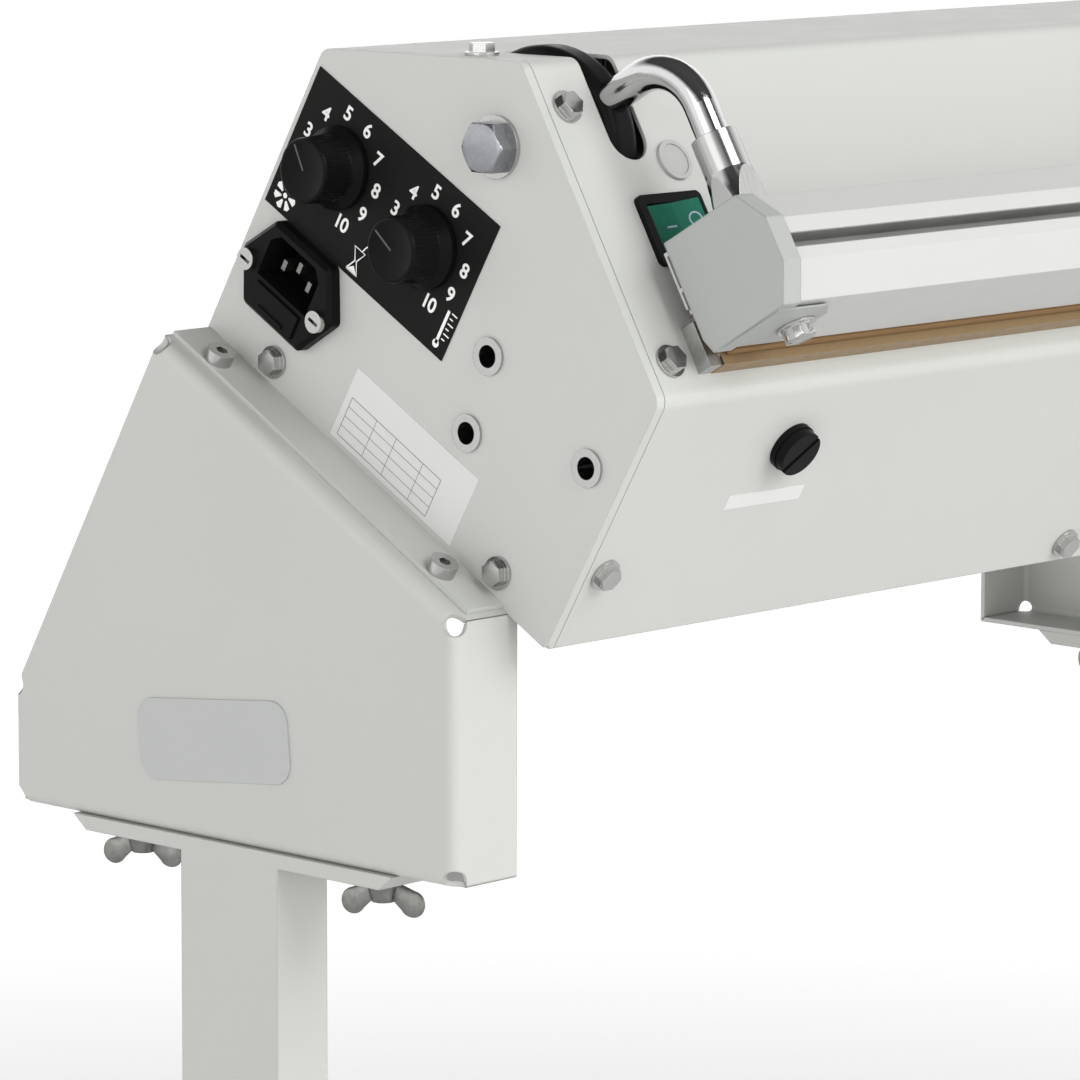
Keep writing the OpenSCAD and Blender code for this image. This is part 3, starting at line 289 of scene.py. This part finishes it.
def plated(name, color, roughness, mottle=0.05, edge=0.0002, grain=700):
    """Plated or drawn metal with a mottled, slightly uneven shine."""
    m, tree, s = shader(name, color, roughness, metallic=1.0)
    mottled = noise(tree, grain, 4)
    tint(tree, s, mottled, shade(color, 1 - mottle), shade(color, 1 + mottle / 2))
    gloss(tree, s, noise(tree, grain * 2.2, 3), roughness - 0.05, roughness + 0.1)
    relief(tree, s, mottled, 0.000003, edge)
    return m


def moulded(name, color, roughness, grain=1500, depth=0.000012, edge=0.0003, coat=0.0, drift=0.08,
            specular=0.45):
    """Moulded plastic, film or ink with a fine grain."""
    m, tree, s = shader(name, color, roughness, specular=specular, coat=coat)
    tint(tree, s, noise(tree, 40, 3), shade(color, 1 - drift), shade(color, 1 + drift))
    gloss(tree, s, noise(tree, 220, 3), roughness - 0.05, roughness + 0.06)
    relief(tree, s, noise(tree, grain, 2), depth, edge)
    return m


# the bands of a wave texture of scale 1 stand this many metres apart
WAVE_SCALE = 0.314


def woven(name, dark, light, pitch=0.0009, roughness=0.5):
    """Coated glass cloth: two crossing thread sets under a thin film."""
    m, tree, s = shader(name, light, roughness, specular=0.35, coat=0.15)
    where = add(tree, "ShaderNodeTexCoord")
    threads = []
    for direction in ("X", "Z"):
        wave = add(tree, "ShaderNodeTexWave", wave_type="BANDS", bands_direction=direction,
                   Scale=WAVE_SCALE / pitch)
        tree.links.new(where.outputs["Object"], wave.inputs["Vector"])
        threads.append(wave.outputs["Fac"])
    cross = add(tree, "ShaderNodeMath", operation="MULTIPLY")
    tree.links.new(threads[0], cross.inputs[0])
    tree.links.new(threads[1], cross.inputs[1])
    blotch = add(tree, "ShaderNodeMath", operation="MULTIPLY_ADD")
    tree.links.new(noise(tree, 70, 4), blotch.inputs[0])
    blotch.inputs[1].default_value = 0.35
    tree.links.new(cross.outputs[0], blotch.inputs[2])
    tint(tree, s, blotch.outputs[0], dark, light)
    gloss(tree, s, noise(tree, 300, 2), roughness - 0.08, roughness + 0.08)
    relief(tree, s, cross.outputs[0], 0.00003)
    return m


def wound(name, color):
    """Close-wound enamelled wire."""
    m, tree, s = shader(name, color, 0.35, metallic=0.9)
    where = add(tree, "ShaderNodeTexCoord")
    wave = add(tree, "ShaderNodeTexWave", wave_type="BANDS", bands_direction="Z", Scale=350)
    tree.links.new(where.outputs["Object"], wave.inputs["Vector"])
    tint(tree, s, noise(tree, 120, 3), shade(color, 0.85), shade(color, 1.1))
    relief(tree, s, wave.outputs["Fac"], 0.0002)
    return m


def brushed(name, color, roughness, stretch):
    """Drawn or brushed metal, grained along one direction."""
    m, tree, s = shader(name, color, roughness, metallic=1.0)
    lines = noise(tree, 500, 4, stretch)
    tint(tree, s, lines, shade(color, 0.9), shade(color, 1.06))
    gloss(tree, s, lines, roughness - 0.06, roughness + 0.1)
    relief(tree, s, lines, 0.000008, 0.0003)
    return m


PAINT = (0.500, 0.507, 0.482)
MATERIALS = {
    "body_paint": paint("body_paint", PAINT, 0.46),
    "stand_paint": paint("stand_paint", shade(PAINT, 0.965), 0.48, edge=0.0009),
    "bar_paint": paint("bar_paint", (0.505, 0.507, 0.498), 0.36, peel=0.000006),
    "cap_paint": paint("cap_paint", (0.362, 0.372, 0.358), 0.42, peel=0.00002, edge=0.0011),
    "zinc": plated("zinc", (0.50, 0.50, 0.488), 0.17),
    "bolt_zinc": plated("bolt_zinc", (0.30, 0.303, 0.322), 0.3, mottle=0.08),
    "dull_zinc": plated("dull_zinc", (0.22, 0.22, 0.21), 0.36, mottle=0.15, grain=420),
    "steel": brushed("steel", (0.40, 0.40, 0.39), 0.34, (0.06, 1, 1)),
    "bare_aluminium": brushed("bare_aluminium", (0.52, 0.52, 0.505), 0.38, (0.05, 1, 1)),
    "sleeve_metal": brushed("sleeve_metal", (0.40, 0.40, 0.395), 0.17, (1, 0.08, 0.08)),
    "chrome_tube": plated("chrome_tube", (0.50, 0.50, 0.505), 0.06, mottle=0.01, edge=0.0),
    "core_iron": plated("core_iron", (0.12, 0.115, 0.11), 0.5, mottle=0.1, grain=260),
    "copper_wire": wound("copper_wire", (0.45, 0.19, 0.08)),
    "black_plastic": moulded("black_plastic", (0.0065, 0.0065, 0.0065), 0.34, specular=0.06),
    "knob_plastic": moulded("knob_plastic", (0.005, 0.005, 0.005), 0.3, grain=2200, depth=0.000006,
                            specular=0.06),
    "grey_plastic": moulded("grey_plastic", (0.41, 0.415, 0.405), 0.4, drift=0.03),
    "green_lens": moulded("green_lens", (0.012, 0.128, 0.083), 0.25, depth=0.000003, specular=0.08),
    "overlay_film": moulded("overlay_film", (0.0095, 0.0095, 0.0092), 0.5, grain=2600, depth=0.000005,
                            edge=0.0, specular=0.06),
    "label_film": moulded("label_film", (0.63, 0.63, 0.615), 0.34, grain=900, depth=0.000002,
                          edge=0.0, drift=0.006),
    "badge_plate": moulded("badge_plate", (0.44, 0.448, 0.443), 0.5, grain=900, depth=0.0000004,
                           drift=0.004, specular=0.25),
    "board_laminate": moulded("board_laminate", (0.015, 0.08, 0.036), 0.3, coat=0.4),
    # the silicone strip is a real part, but its dark brown is painted shade: the colour of the shadow it lies
    # in under the bar
    "silicone": moulded("silicone", (0.235, 0.128, 0.043), 0.6, drift=0.03),
    "glass_cloth": woven("glass_cloth", (0.37, 0.32, 0.25), (0.42, 0.37, 0.29)),
    "release_film": woven("release_film", (0.240, 0.158, 0.076), (0.268, 0.178, 0.088), pitch=0.0006),
    # painted shade for the inside of the knife groove, partly the dark rail on its floor
    "groove_shade_liner": moulded("groove_shade_liner", (0.26, 0.26, 0.255), 0.4, edge=0.0),
    "white_ink": moulded("white_ink", (0.82, 0.82, 0.80), 0.5, edge=0.0, drift=0.01),
    "grey_ink": moulded("grey_ink", (0.16, 0.16, 0.165), 0.5, edge=0.0, drift=0.03),
    "pale_ink": moulded("pale_ink", (0.29, 0.33, 0.44), 0.45, edge=0.0, drift=0.03),
    # the pointer is a sunk line in the knob top; its grey, lighter than the knob, is a painted highlight of
    # light caught in it
    "pointer_line_highlight": moulded("pointer_line_highlight", (0.06, 0.059, 0.057), 0.5, edge=0.0, drift=0.03),
}
NODE_FINISH = {
    "wing_nuts": "dull_zinc",
    "inlet_pins": "dull_zinc",
    "tube_sleeves": "sleeve_metal",
    "arm_tubes": "chrome_tube",
}


def dress_cad():
    """Every CAD node takes its slot's material, or a finer one of its own."""
    slots = {p["node"]: p["material_slot"] for p in frame["record"]["subparts"]}
    for name, obj in frame["nodes"].items():
        finish = MATERIALS[NODE_FINISH.get(name, slots[name])]
        if not obj.material_slots:
            obj.data.materials.append(finish)
        for s in obj.material_slots:
            s.link = "OBJECT"
            s.material = finish


# ---------------------------------------------------------------- dials

OVERLAY_FACE = 0.5
INK = 0.06
DIAL_V = BACK_HEIGHT / 2 - 2.2 + 30.7
DIALS = {"cooling_dial": 28, "heat_dial": 78}
POINTER_ANGLE = {"cooling_dial": 144.4, "heat_dial": 168.1}
DIGIT_ZERO = 269.4
DIGIT_STEP = -32.65
DIGIT_RADIUS = 19.7
DIGIT_SIZE = 7.6
KNOB_SKIRT = 15.0
KNOB_GRIP = 12.1
KNOB_TOP = 18.5
FLUTES = 48
FLUTE_STEPS = 4
FLUTE_DEPTH = 0.26
FLUTE_START = 6.4
FLUTE_END = KNOB_TOP - 1.2
POINTER_WIDTH = 0.75


def knob(name, u):
    """A skirted dial: a fluted grip with a sunk top and a pointer line in it; the line's light grey is a
    painted highlight of the light its recess catches.
    """
    def flute(i, radius, height):
        if not FLUTE_START < height < FLUTE_END:
            return 0
        return -FLUTE_DEPTH * (0.5 + 0.5 * math.cos(2 * math.pi * i / FLUTE_STEPS))

    profile = [(0, 1.0), (KNOB_SKIRT - 0.3, 1.0), (KNOB_SKIRT, 1.3), (KNOB_SKIRT, 3.2),
               (KNOB_SKIRT - 0.5, 3.8), (KNOB_GRIP + 1.0, 5.0), (KNOB_GRIP + 0.25, 5.9),
               (KNOB_GRIP, 6.6), (KNOB_GRIP - 0.35, KNOB_TOP - 1.4), (KNOB_GRIP - 0.5, KNOB_TOP - 1.0),
               (KNOB_GRIP - 0.75, KNOB_TOP - 0.3), (KNOB_GRIP - 1.2, KNOB_TOP), (KNOB_GRIP - 2.0, KNOB_TOP),
               (KNOB_GRIP - 2.5, KNOB_TOP - 0.25), (0, KNOB_TOP - 0.25)]
    bm = bmesh.new()
    lathe(bm, profile, FLUTES * FLUTE_STEPS, flute)
    at_dial = on_plate(u, DIAL_V)
    body = piece(name + "_knob", bm, at_dial, name, MATERIALS["knob_plastic"])
    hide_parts(name)
    angle = math.radians(POINTER_ANGLE[name])
    bm = bmesh.new()
    tip = KNOB_GRIP - 1.0
    stroke(bm, [(0, 0), (tip * math.cos(angle), tip * math.sin(angle))], POINTER_WIDTH,
           KNOB_TOP - 0.35, KNOB_TOP - 0.08)
    piece(name + "_pointer", bm, at_dial, name, MATERIALS["pointer_line_highlight"],
          smooth=False)


def digits():
    """The printed scale of both dials."""
    bm = bmesh.new()
    for u in DIALS.values():
        for digit in range(3, 11):
            angle = math.radians(DIGIT_ZERO + DIGIT_STEP * digit)
            mesh = glyph(str(digit), DIGIT_SIZE, INK)
            spot = Vector((u + DIGIT_RADIUS * math.cos(angle), DIAL_V + DIGIT_RADIUS * math.sin(angle),
                           OVERLAY_FACE + INK / 2))
            mesh.transform(Matrix.Translation(spot))
            bm.from_mesh(mesh)
            bpy.data.meshes.remove(mesh)
    piece("dial_digits", bm, on_plate(0, 0), "base", MATERIALS["white_ink"], smooth=False)


FAN_AT = (10.2, 65.3)
FAN_BLADES = 7
GLASS_AT = (51.4, 65.0)
GLASS_HALF_WIDTH = 2.9
GLASS_HALF_HEIGHT = 4.6
STEM_AT = (98.4, 62.3)
STEM_LENGTH = 13.6
STEM_BULB = 1.55
SCALE_MARKS = 6
INK_LOW = OVERLAY_FACE
INK_HIGH = OVERLAY_FACE + INK


def fan(bm):
    """A fan of seven blades round a hub."""
    x, y = FAN_AT
    for i in range(FAN_BLADES):
        a = 2 * math.pi * i / FAN_BLADES
        edge = [(2.0, a - 0.16), (5.3, a - 0.30), (5.7, a), (5.2, a + 0.26), (2.0, a + 0.2)]
        prism(bm, [(x + r * math.cos(t), y + r * math.sin(t)) for r, t in edge], INK_LOW, INK_HIGH)
    prism(bm, circle(x, y, 1.0), INK_LOW, INK_HIGH)


def hourglass(bm):
    """An hourglass with sand at its foot and a curved line above it."""
    x, y = GLASS_AT
    half, top, foot, waist = GLASS_HALF_WIDTH, GLASS_HALF_HEIGHT, -GLASS_HALF_HEIGHT, 0.4
    outline = [(-half, foot), (half, foot), (waist, 0), (half, top), (-half, top), (-waist, 0), (-half, foot)]
    stroke(bm, [(x + a, y + b) for a, b in outline], 0.55, INK_LOW, INK_HIGH)
    sand = [(-half, foot), (half, foot), (0, foot + 2.6)]
    prism(bm, [(x + a, y + b) for a, b in sand], INK_LOW, INK_HIGH)
    tail = [(x + half * 0.4 + 0.35 * i, y + top + 0.62 * i + 0.7 * math.sin(i / 2.0)) for i in range(9)]
    stroke(bm, tail, 0.5, INK_LOW, INK_HIGH)


def thermometer(bm):
    """A bulb, a stem and a scale of long and short marks."""
    x, y = STEM_AT
    prism(bm, circle(x, y, STEM_BULB), INK_LOW, INK_HIGH)
    stroke(bm, [(x, y), (x, y + STEM_LENGTH)], 1.3, INK_LOW, INK_HIGH)
    for i in range(SCALE_MARKS):
        reach = 4.4 if i % 2 else 3.2
        height = y + 3 + 2.1 * i
        stroke(bm, [(x + 1.5, height), (x + reach, height)], 0.5, INK_LOW, INK_HIGH)


def symbols():
    """The plain printed symbols beside the scales."""
    bm = bmesh.new()
    fan(bm)
    hourglass(bm)
    thermometer(bm)
    piece("overlay_symbols", bm, on_plate(0, 0), "base", MATERIALS["white_ink"],
          smooth=False)


# ---------------------------------------------------------------- hexagon heads

HEX_U = RIDGE_DEPTH + 5.5
PIVOT_HEIGHT = RIDGE_HEIGHT - 38.9
HEX_V = PIVOT_HEIGHT + 7.6
HEX_CORNERS = 19.6
HEX_HEIGHT = 7
HEX_TURN = math.radians(30)
WASHER_SHEET = 1.6
CHAMFER_SHARE = 0.955
CHAMFER_SLOPE = 1.75
BAR_LIFT = 12.5
BAR_HEIGHT = 43.9
BAR_TOP_S = 77.33
BAR_FRONT_S = BAR_TOP_S + 40.5
CAP_SHEET = 0.8
LAP = 0.1
CAP_SCREW_X = 44
CAP_SCREW_LIFT = BAR_LIFT + 19.5
CAP_SCREW_CORNERS = 11.62
CAP_SCREW_HEIGHT = 4.45
CAP_SCREW_TURN = math.radians(12)


def ends(matrix):
    """The place at the left end and its mirror at the right end, with their names."""
    return (("left", matrix), ("right", Matrix.Scale(-1, 4, X) @ matrix))


def hex_head(bm, corners, height, base, turn, steps=72):
    """A closed hexagon head with the turned chamfer of a real bolt."""
    flat = corners / 2 * math.cos(math.pi / 6)
    heights = (0, height * 0.5, height * 0.78, height * 0.86, height * 0.92, height * 0.96, height)
    rows = []
    for z in heights:
        cone = flat * CHAMFER_SHARE + (height - z) * CHAMFER_SLOPE
        row = []
        for i in range(steps):
            angle = 2 * math.pi * i / steps
            local = math.fmod(angle - turn + 4 * math.pi, math.pi / 3) - math.pi / 6
            radius = min(flat / math.cos(local), cone)
            row.append(bm.verts.new((radius * math.cos(angle), radius * math.sin(angle), base + z)))
        rows.append(row)
    for a, b in zip(rows, rows[1:]):
        for i in range(steps):
            j = (i + 1) % steps
            bm.faces.new((a[i], a[j], b[j], b[i]))
    bm.faces.new(rows[-1])
    bm.faces.new(list(reversed(rows[0])))


def hex_bolts():
    """The bolt of each shaft bearing, chamfered, standing on a corner."""
    for name, matrix in ends(on_plate(HEX_U, HEX_V)):
        bm = bmesh.new()
        hex_head(bm, HEX_CORNERS, HEX_HEIGHT, WASHER_SHEET, HEX_TURN)
        piece(f"hex_bolt_{name}", bm, matrix, "base", MATERIALS["bolt_zinc"])
    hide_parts("hex_bolts")


def cap_screws():
    """The plated screw through the tab of each bar end cap."""
    washer = [(0, 0.02), (7.0, 0.02), (7.3, 0.25), (7.3, 0.9), (7.0, 1.26), (0, 1.26)]
    spot = (RIDGE + X * CAP_SCREW_X + DOWN_PANEL * (BAR_FRONT_S + CAP_SHEET + LAP)
            + OFF_PANEL * CAP_SCREW_LIFT)
    for name, matrix in ends(place(spot, X, OFF_PANEL, DOWN_PANEL)):
        bm = bmesh.new()
        lathe(bm, washer, 48)
        hex_head(bm, CAP_SCREW_CORNERS, CAP_SCREW_HEIGHT, 1.2, CAP_SCREW_TURN)
        piece(f"cap_screw_{name}", bm, matrix, "arm", MATERIALS["zinc"])


# ---------------------------------------------------------------- blank labels and the bar groove

LABEL_SHEET = 0.2
LABEL_U = 71
LABEL_V = 4.2
LABEL_LENGTH = 68.5
TABLE_LOW = (LABEL_U + 3, LABEL_V + 2)
TABLE_HIGH = (LABEL_U + LABEL_LENGTH - 15, LABEL_V + 17.6)
TABLE_ROWS = 4
TABLE_COLUMNS = (0.28, 0.5, 0.8)
FRAME_LINE = 0.25
RULE_LINE = 0.2
LINE_TOP = LABEL_SHEET + 0.04


def rating_lines():
    """The empty table of the rating label: a frame, four rows and three upright rules."""
    (low_u, low_v), (high_u, high_v) = TABLE_LOW, TABLE_HIGH
    corners = [(low_u, low_v), (high_u, low_v), (high_u, high_v), (low_u, high_v)]
    bm = bmesh.new()
    for a, b in zip(corners, corners[1:] + corners[:1]):
        stroke(bm, [a, b], FRAME_LINE, LABEL_SHEET, LINE_TOP)
    for i in range(1, TABLE_ROWS):
        v = low_v + (high_v - low_v) * i / TABLE_ROWS
        stroke(bm, [(low_u, v), (high_u, v)], RULE_LINE, LABEL_SHEET, LINE_TOP)
    for share in TABLE_COLUMNS:
        u = low_u + (high_u - low_u) * share
        stroke(bm, [(u, low_v), (u, high_v)], RULE_LINE, LABEL_SHEET, LINE_TOP)
    piece("rating_table_lines", bm, on_plate(0, 0), "base", MATERIALS["grey_ink"],
          smooth=False)


GROOVE_S = BAR_TOP_S + 17.6
GROOVE_WIDTH = 5.3
GROOVE_DEPTH = 9
# the groove's painted shade: thin dark sheets on its floor and walls, the floor sheet partly the dark rail
# there
GROOVE_SHADE_FLOOR = BAR_LIFT + BAR_HEIGHT - GROOVE_DEPTH
GROOVE_SHADE_TOP = BAR_LIFT + BAR_HEIGHT - 0.8
GROOVE_SHADE_INSET = 22
GROOVE_SHADE_FLOOR_SHEET = 0.06
GROOVE_SHADE_WALL_SHEET = 0.12
GROOVE_SHADE_GAP = 0.02


def groove_lining():
    """Painted shade in the knife groove along the bar: thin dark sheets on its walls and floor, the floor
    sheet partly standing for the dark rail there.
    """
    start, end = GROOVE_SHADE_INSET, 2 * HALF_LENGTH - GROOVE_SHADE_INSET
    half = GROOVE_WIDTH / 2
    inside = half - GROOVE_SHADE_GAP
    bm = bmesh.new()
    prism(bm, [(start, -inside), (end, -inside), (end, inside), (start, inside)],
          GROOVE_SHADE_FLOOR, GROOVE_SHADE_FLOOR + GROOVE_SHADE_FLOOR_SHEET)
    for side in (-1, 1):
        inner, outer = side * (half - GROOVE_SHADE_WALL_SHEET), side * half
        prism(bm, [(start, inner), (end, inner), (end, outer), (start, outer)], GROOVE_SHADE_FLOOR, GROOVE_SHADE_TOP)
    piece("groove_lining", bm, on_panel(0, GROOVE_S + half), "arm", MATERIALS["groove_shade_liner"],
          smooth=False)


# ---------------------------------------------------------------- rocker marks

ROCKER_X = 43.5
ROCKER_S = 67.3
ROCKER_TILT = math.radians(-9)
ROCKER_HALF = 11.9
ROCKER_RISE = 0.9
ROCKER_FACE = 4
PIN_DEPTH = -2


def rocker_mark(name, bm, x, y):
    """One mark on the slope of the paddle that x is on."""
    lean = math.copysign(math.atan2(ROCKER_RISE, ROCKER_HALF), -x)
    height = ROCKER_FACE + ROCKER_RISE * abs(x) / ROCKER_HALF
    spot = Matrix.Translation((x, y, height)) @ Matrix.Rotation(lean, 4, "Y")
    tilt = Matrix.Rotation(ROCKER_TILT, 4, "Y")
    piece(name, bm, on_panel(ROCKER_X, ROCKER_S, PIN_DEPTH) @ tilt @ spot, "rocker",
          MATERIALS["pale_ink"], smooth=False)


def rocker_marks():
    """The on bar and the off ring, on the two slopes of the paddle."""
    bar = bmesh.new()
    stroke(bar, [(-2.3, 0), (2.3, 0)], 0.6, 0, INK)
    rocker_mark("rocker_on_mark", bar, -3.5, 0.6)
    off_ring = bmesh.new()
    ring(off_ring, (0, 0), 2.2, 2.8, 0, INK)
    rocker_mark("rocker_off_mark", off_ring, 7.6, 1.9)


# ---------------------------------------------------------------- wing nuts

HEAD_DROP = 181
PLATE_SHEET = 5.5
STUD_X = -10
POST_FRONT = 37.3
STUD_PITCH = 125
WING_TURN = math.radians(25)
EAR_ROOT = Vector((3.6, -3.6))
EAR_TIP = Vector((11.2, -8.8))
EAR_HALF_ROOT = 2.9
EAR_RADIUS = 4.6
EAR_ARC = math.radians(230)
EAR_STEPS = 24
EAR_LAYERS = ((-1.35, 0.80), (-0.95, 0.95), (0, 1.0), (0.95, 0.95), (1.35, 0.80))
NUT_PROFILE = ((0, -0.05), (6.0, -0.05), (6.25, -0.4), (6.2, -1.2), (5.6, -3.4), (4.9, -5.8),
               (4.4, -8.0), (4.0, -8.4), (3.1, -8.5), (3.1, -8.1), (0, -8.1))


def ear(bm, side):
    """One drooping wing, narrow at its root and round at its tip."""
    along = (EAR_TIP - EAR_ROOT).normalized()
    across = Vector((-along.y, along.x))
    turn = math.atan2(along.y, along.x)
    outline = [EAR_ROOT - across * EAR_HALF_ROOT]
    for i in range(EAR_STEPS + 1):
        a = turn + EAR_ARC * (i / EAR_STEPS - 0.5)
        outline.append(EAR_TIP + EAR_RADIUS * Vector((math.cos(a), 1.06 * math.sin(a))))
    outline.append(EAR_ROOT + across * EAR_HALF_ROOT)
    middle = EAR_ROOT.lerp(EAR_TIP, 0.62)
    rings = []
    for offset, grow in EAR_LAYERS:
        scaled = [middle + (p - middle) * grow for p in outline]
        rings.append([bm.verts.new((offset, side * q.x, q.y)) for q in scaled])
    count = len(outline)
    for a, b in zip(rings, rings[1:]):
        for i in range(count):
            j = (i + 1) % count
            bm.faces.new((a[i], a[j], b[j], b[i]))
    bm.faces.new(list(reversed(rings[0])))
    bm.faces.new(rings[-1])


def wing_nuts():
    """Four wing nuts under the post plates, each on its stud end."""
    for end, end_name in ((-1, "left"), (1, "right")):
        for side, side_name in ((-1, "front"), (1, "back")):
            bm = bmesh.new()
            lathe(bm, NUT_PROFILE, 40)
            for wing in (-1, 1):
                ear(bm, wing)
            spot = Vector((end * (HALF_LENGTH - STUD_X), BODY_SETBACK - POST_FRONT + side * STUD_PITCH / 2,
                           BODY_RISE - HEAD_DROP - PLATE_SHEET))
            turn = Matrix.Rotation(-end * WING_TURN, 4, "Z")
            matrix = Matrix.Translation(spot * MM) @ turn @ Matrix.Scale(MM, 4)
            piece(f"wing_nut_{end_name}_{side_name}", bm, matrix, "base",
                              MATERIALS["dull_zinc"])
    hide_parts("wing_nuts")


# ---------------------------------------------------------------- stage, light and camera


FLOOR_RADIUS = 40000
FLOOR_SHEET = 20
# the floor grows brighter from the first to the second distance, in metres from the stand's middle
GLOW = (("From Min", 1.6), ("From Max", 3.2), ("To Min", 0.0), ("To Max", 0.52))


def stage():
    """A wide pale floor that glows away from the object."""
    bm = bmesh.new()
    prism(bm, circle(0, 0, FLOOR_RADIUS, 64), -FLOOR_SHEET, 0)
    mesh = bpy.data.meshes.new("floor")
    bm.to_mesh(mesh)
    bm.free()
    mesh.transform(Matrix.Scale(MM, 4))
    floor = bpy.data.objects.new("floor", mesh)
    bpy.context.scene.collection.objects.link(floor)
    m, tree, s = shader("floor_paper", (0.93, 0.93, 0.93), 0.85, specular=0.1)
    s.inputs["Emission Color"].default_value = (1, 1, 1, 1)
    where = add(tree, "ShaderNodeTexCoord")
    away = add(tree, "ShaderNodeVectorMath", operation="LENGTH")
    glow = add(tree, "ShaderNodeMapRange")
    for key, value in GLOW:
        glow.inputs[key].default_value = value
    tree.links.new(where.outputs["Object"], away.inputs[0])
    tree.links.new(away.outputs["Value"], glow.inputs["Value"])
    tree.links.new(glow.outputs["Result"], s.inputs["Emission Strength"])
    mesh.materials.append(m)


# steps from low to high in the sky and how bright it is there
SKY_STOPS = ((0.0, 1.0), (0.44, 1.0), (0.66, 0.05), (1.0, 0.07))
SKY_STRENGTH = 1.5
LAMP_TARGET = (0, 0, 0.9)
LAMP_SIZE = 2.4


def area(name, place_at, power):
    """A square soft box that looks at the body of the sealer."""
    lamp = bpy.data.lights.new(name, "AREA")
    lamp.shape = "RECTANGLE"
    lamp.size = lamp.size_y = LAMP_SIZE
    lamp.energy = power
    obj = bpy.data.objects.new(name, lamp)
    bpy.context.scene.collection.objects.link(obj)
    obj.location = place_at
    aim = Vector(LAMP_TARGET) - Vector(place_at)
    obj.rotation_euler = aim.to_track_quat("-Z", "Y").to_euler()


def light():
    """A bright lower sky, a high soft box in front and a low one at the left."""
    world = bpy.data.worlds.new("studio")
    bpy.context.scene.world = world
    world.use_nodes = True
    tree = world.node_tree
    where = add(tree, "ShaderNodeTexCoord")
    split = add(tree, "ShaderNodeSeparateXYZ")
    ramp = add(tree, "ShaderNodeValToRGB")
    elements = ramp.color_ramp.elements
    while len(elements) < len(SKY_STOPS):
        elements.new(0.5)
    for element, (position, value) in zip(elements, SKY_STOPS):
        element.position = position
        element.color = (value, value, value, 1)
    tree.links.new(where.outputs["Generated"], split.inputs["Vector"])
    tree.links.new(split.outputs["Z"], ramp.inputs["Fac"])
    back = tree.nodes["Background"]
    tree.links.new(ramp.outputs["Color"], back.inputs["Color"])
    back.inputs["Strength"].default_value = SKY_STRENGTH
    area("front_box", (0.0, -3.28, 3.19), 102)
    area("left_box", (-3.85, -0.68, 1.73), 17)


# the viewpoint that was fitted to the edges of the end plate, cover and stand head
CAMERA_AT = (-1.70563, -1.44031, 1.13920)
CAMERA_YAW = math.radians(46.6804)
CAMERA_PITCH = math.radians(8.6351)
CAMERA_ROLL = math.radians(0.17)
FOCAL_PIXELS = 5774.5
PHOTO_PIXELS = 1080
SENSOR = 36


def camera():
    """The fitted viewpoint of the photograph."""
    data = bpy.data.cameras.new("camera")
    data.sensor_width = SENSOR
    data.lens = FOCAL_PIXELS / PHOTO_PIXELS * SENSOR
    data.clip_start, data.clip_end = 0.05, 200
    obj = bpy.data.objects.new("camera", data)
    bpy.context.scene.collection.objects.link(obj)
    forward = Vector((math.cos(CAMERA_PITCH) * math.sin(CAMERA_YAW),
                      math.cos(CAMERA_PITCH) * math.cos(CAMERA_YAW), -math.sin(CAMERA_PITCH)))
    right = forward.cross(Z).normalized()
    up = right.cross(forward)
    c, s = math.cos(CAMERA_ROLL), math.sin(CAMERA_ROLL)
    right, up = c * right + s * up, -s * right + c * up
    m = Matrix((right, up, -forward)).transposed().to_4x4()
    m.translation = CAMERA_AT
    obj.matrix_world = m
    bpy.context.scene.camera = obj
    bpy.context.scene.view_settings.view_transform = "Standard"


dress_cad()
for dial_name, dial_u in DIALS.items():
    knob(dial_name, dial_u)
digits()
symbols()
hex_bolts()
cap_screws()
rating_lines()
groove_lining()
rocker_marks()
wing_nuts()
stage()
light()
camera()
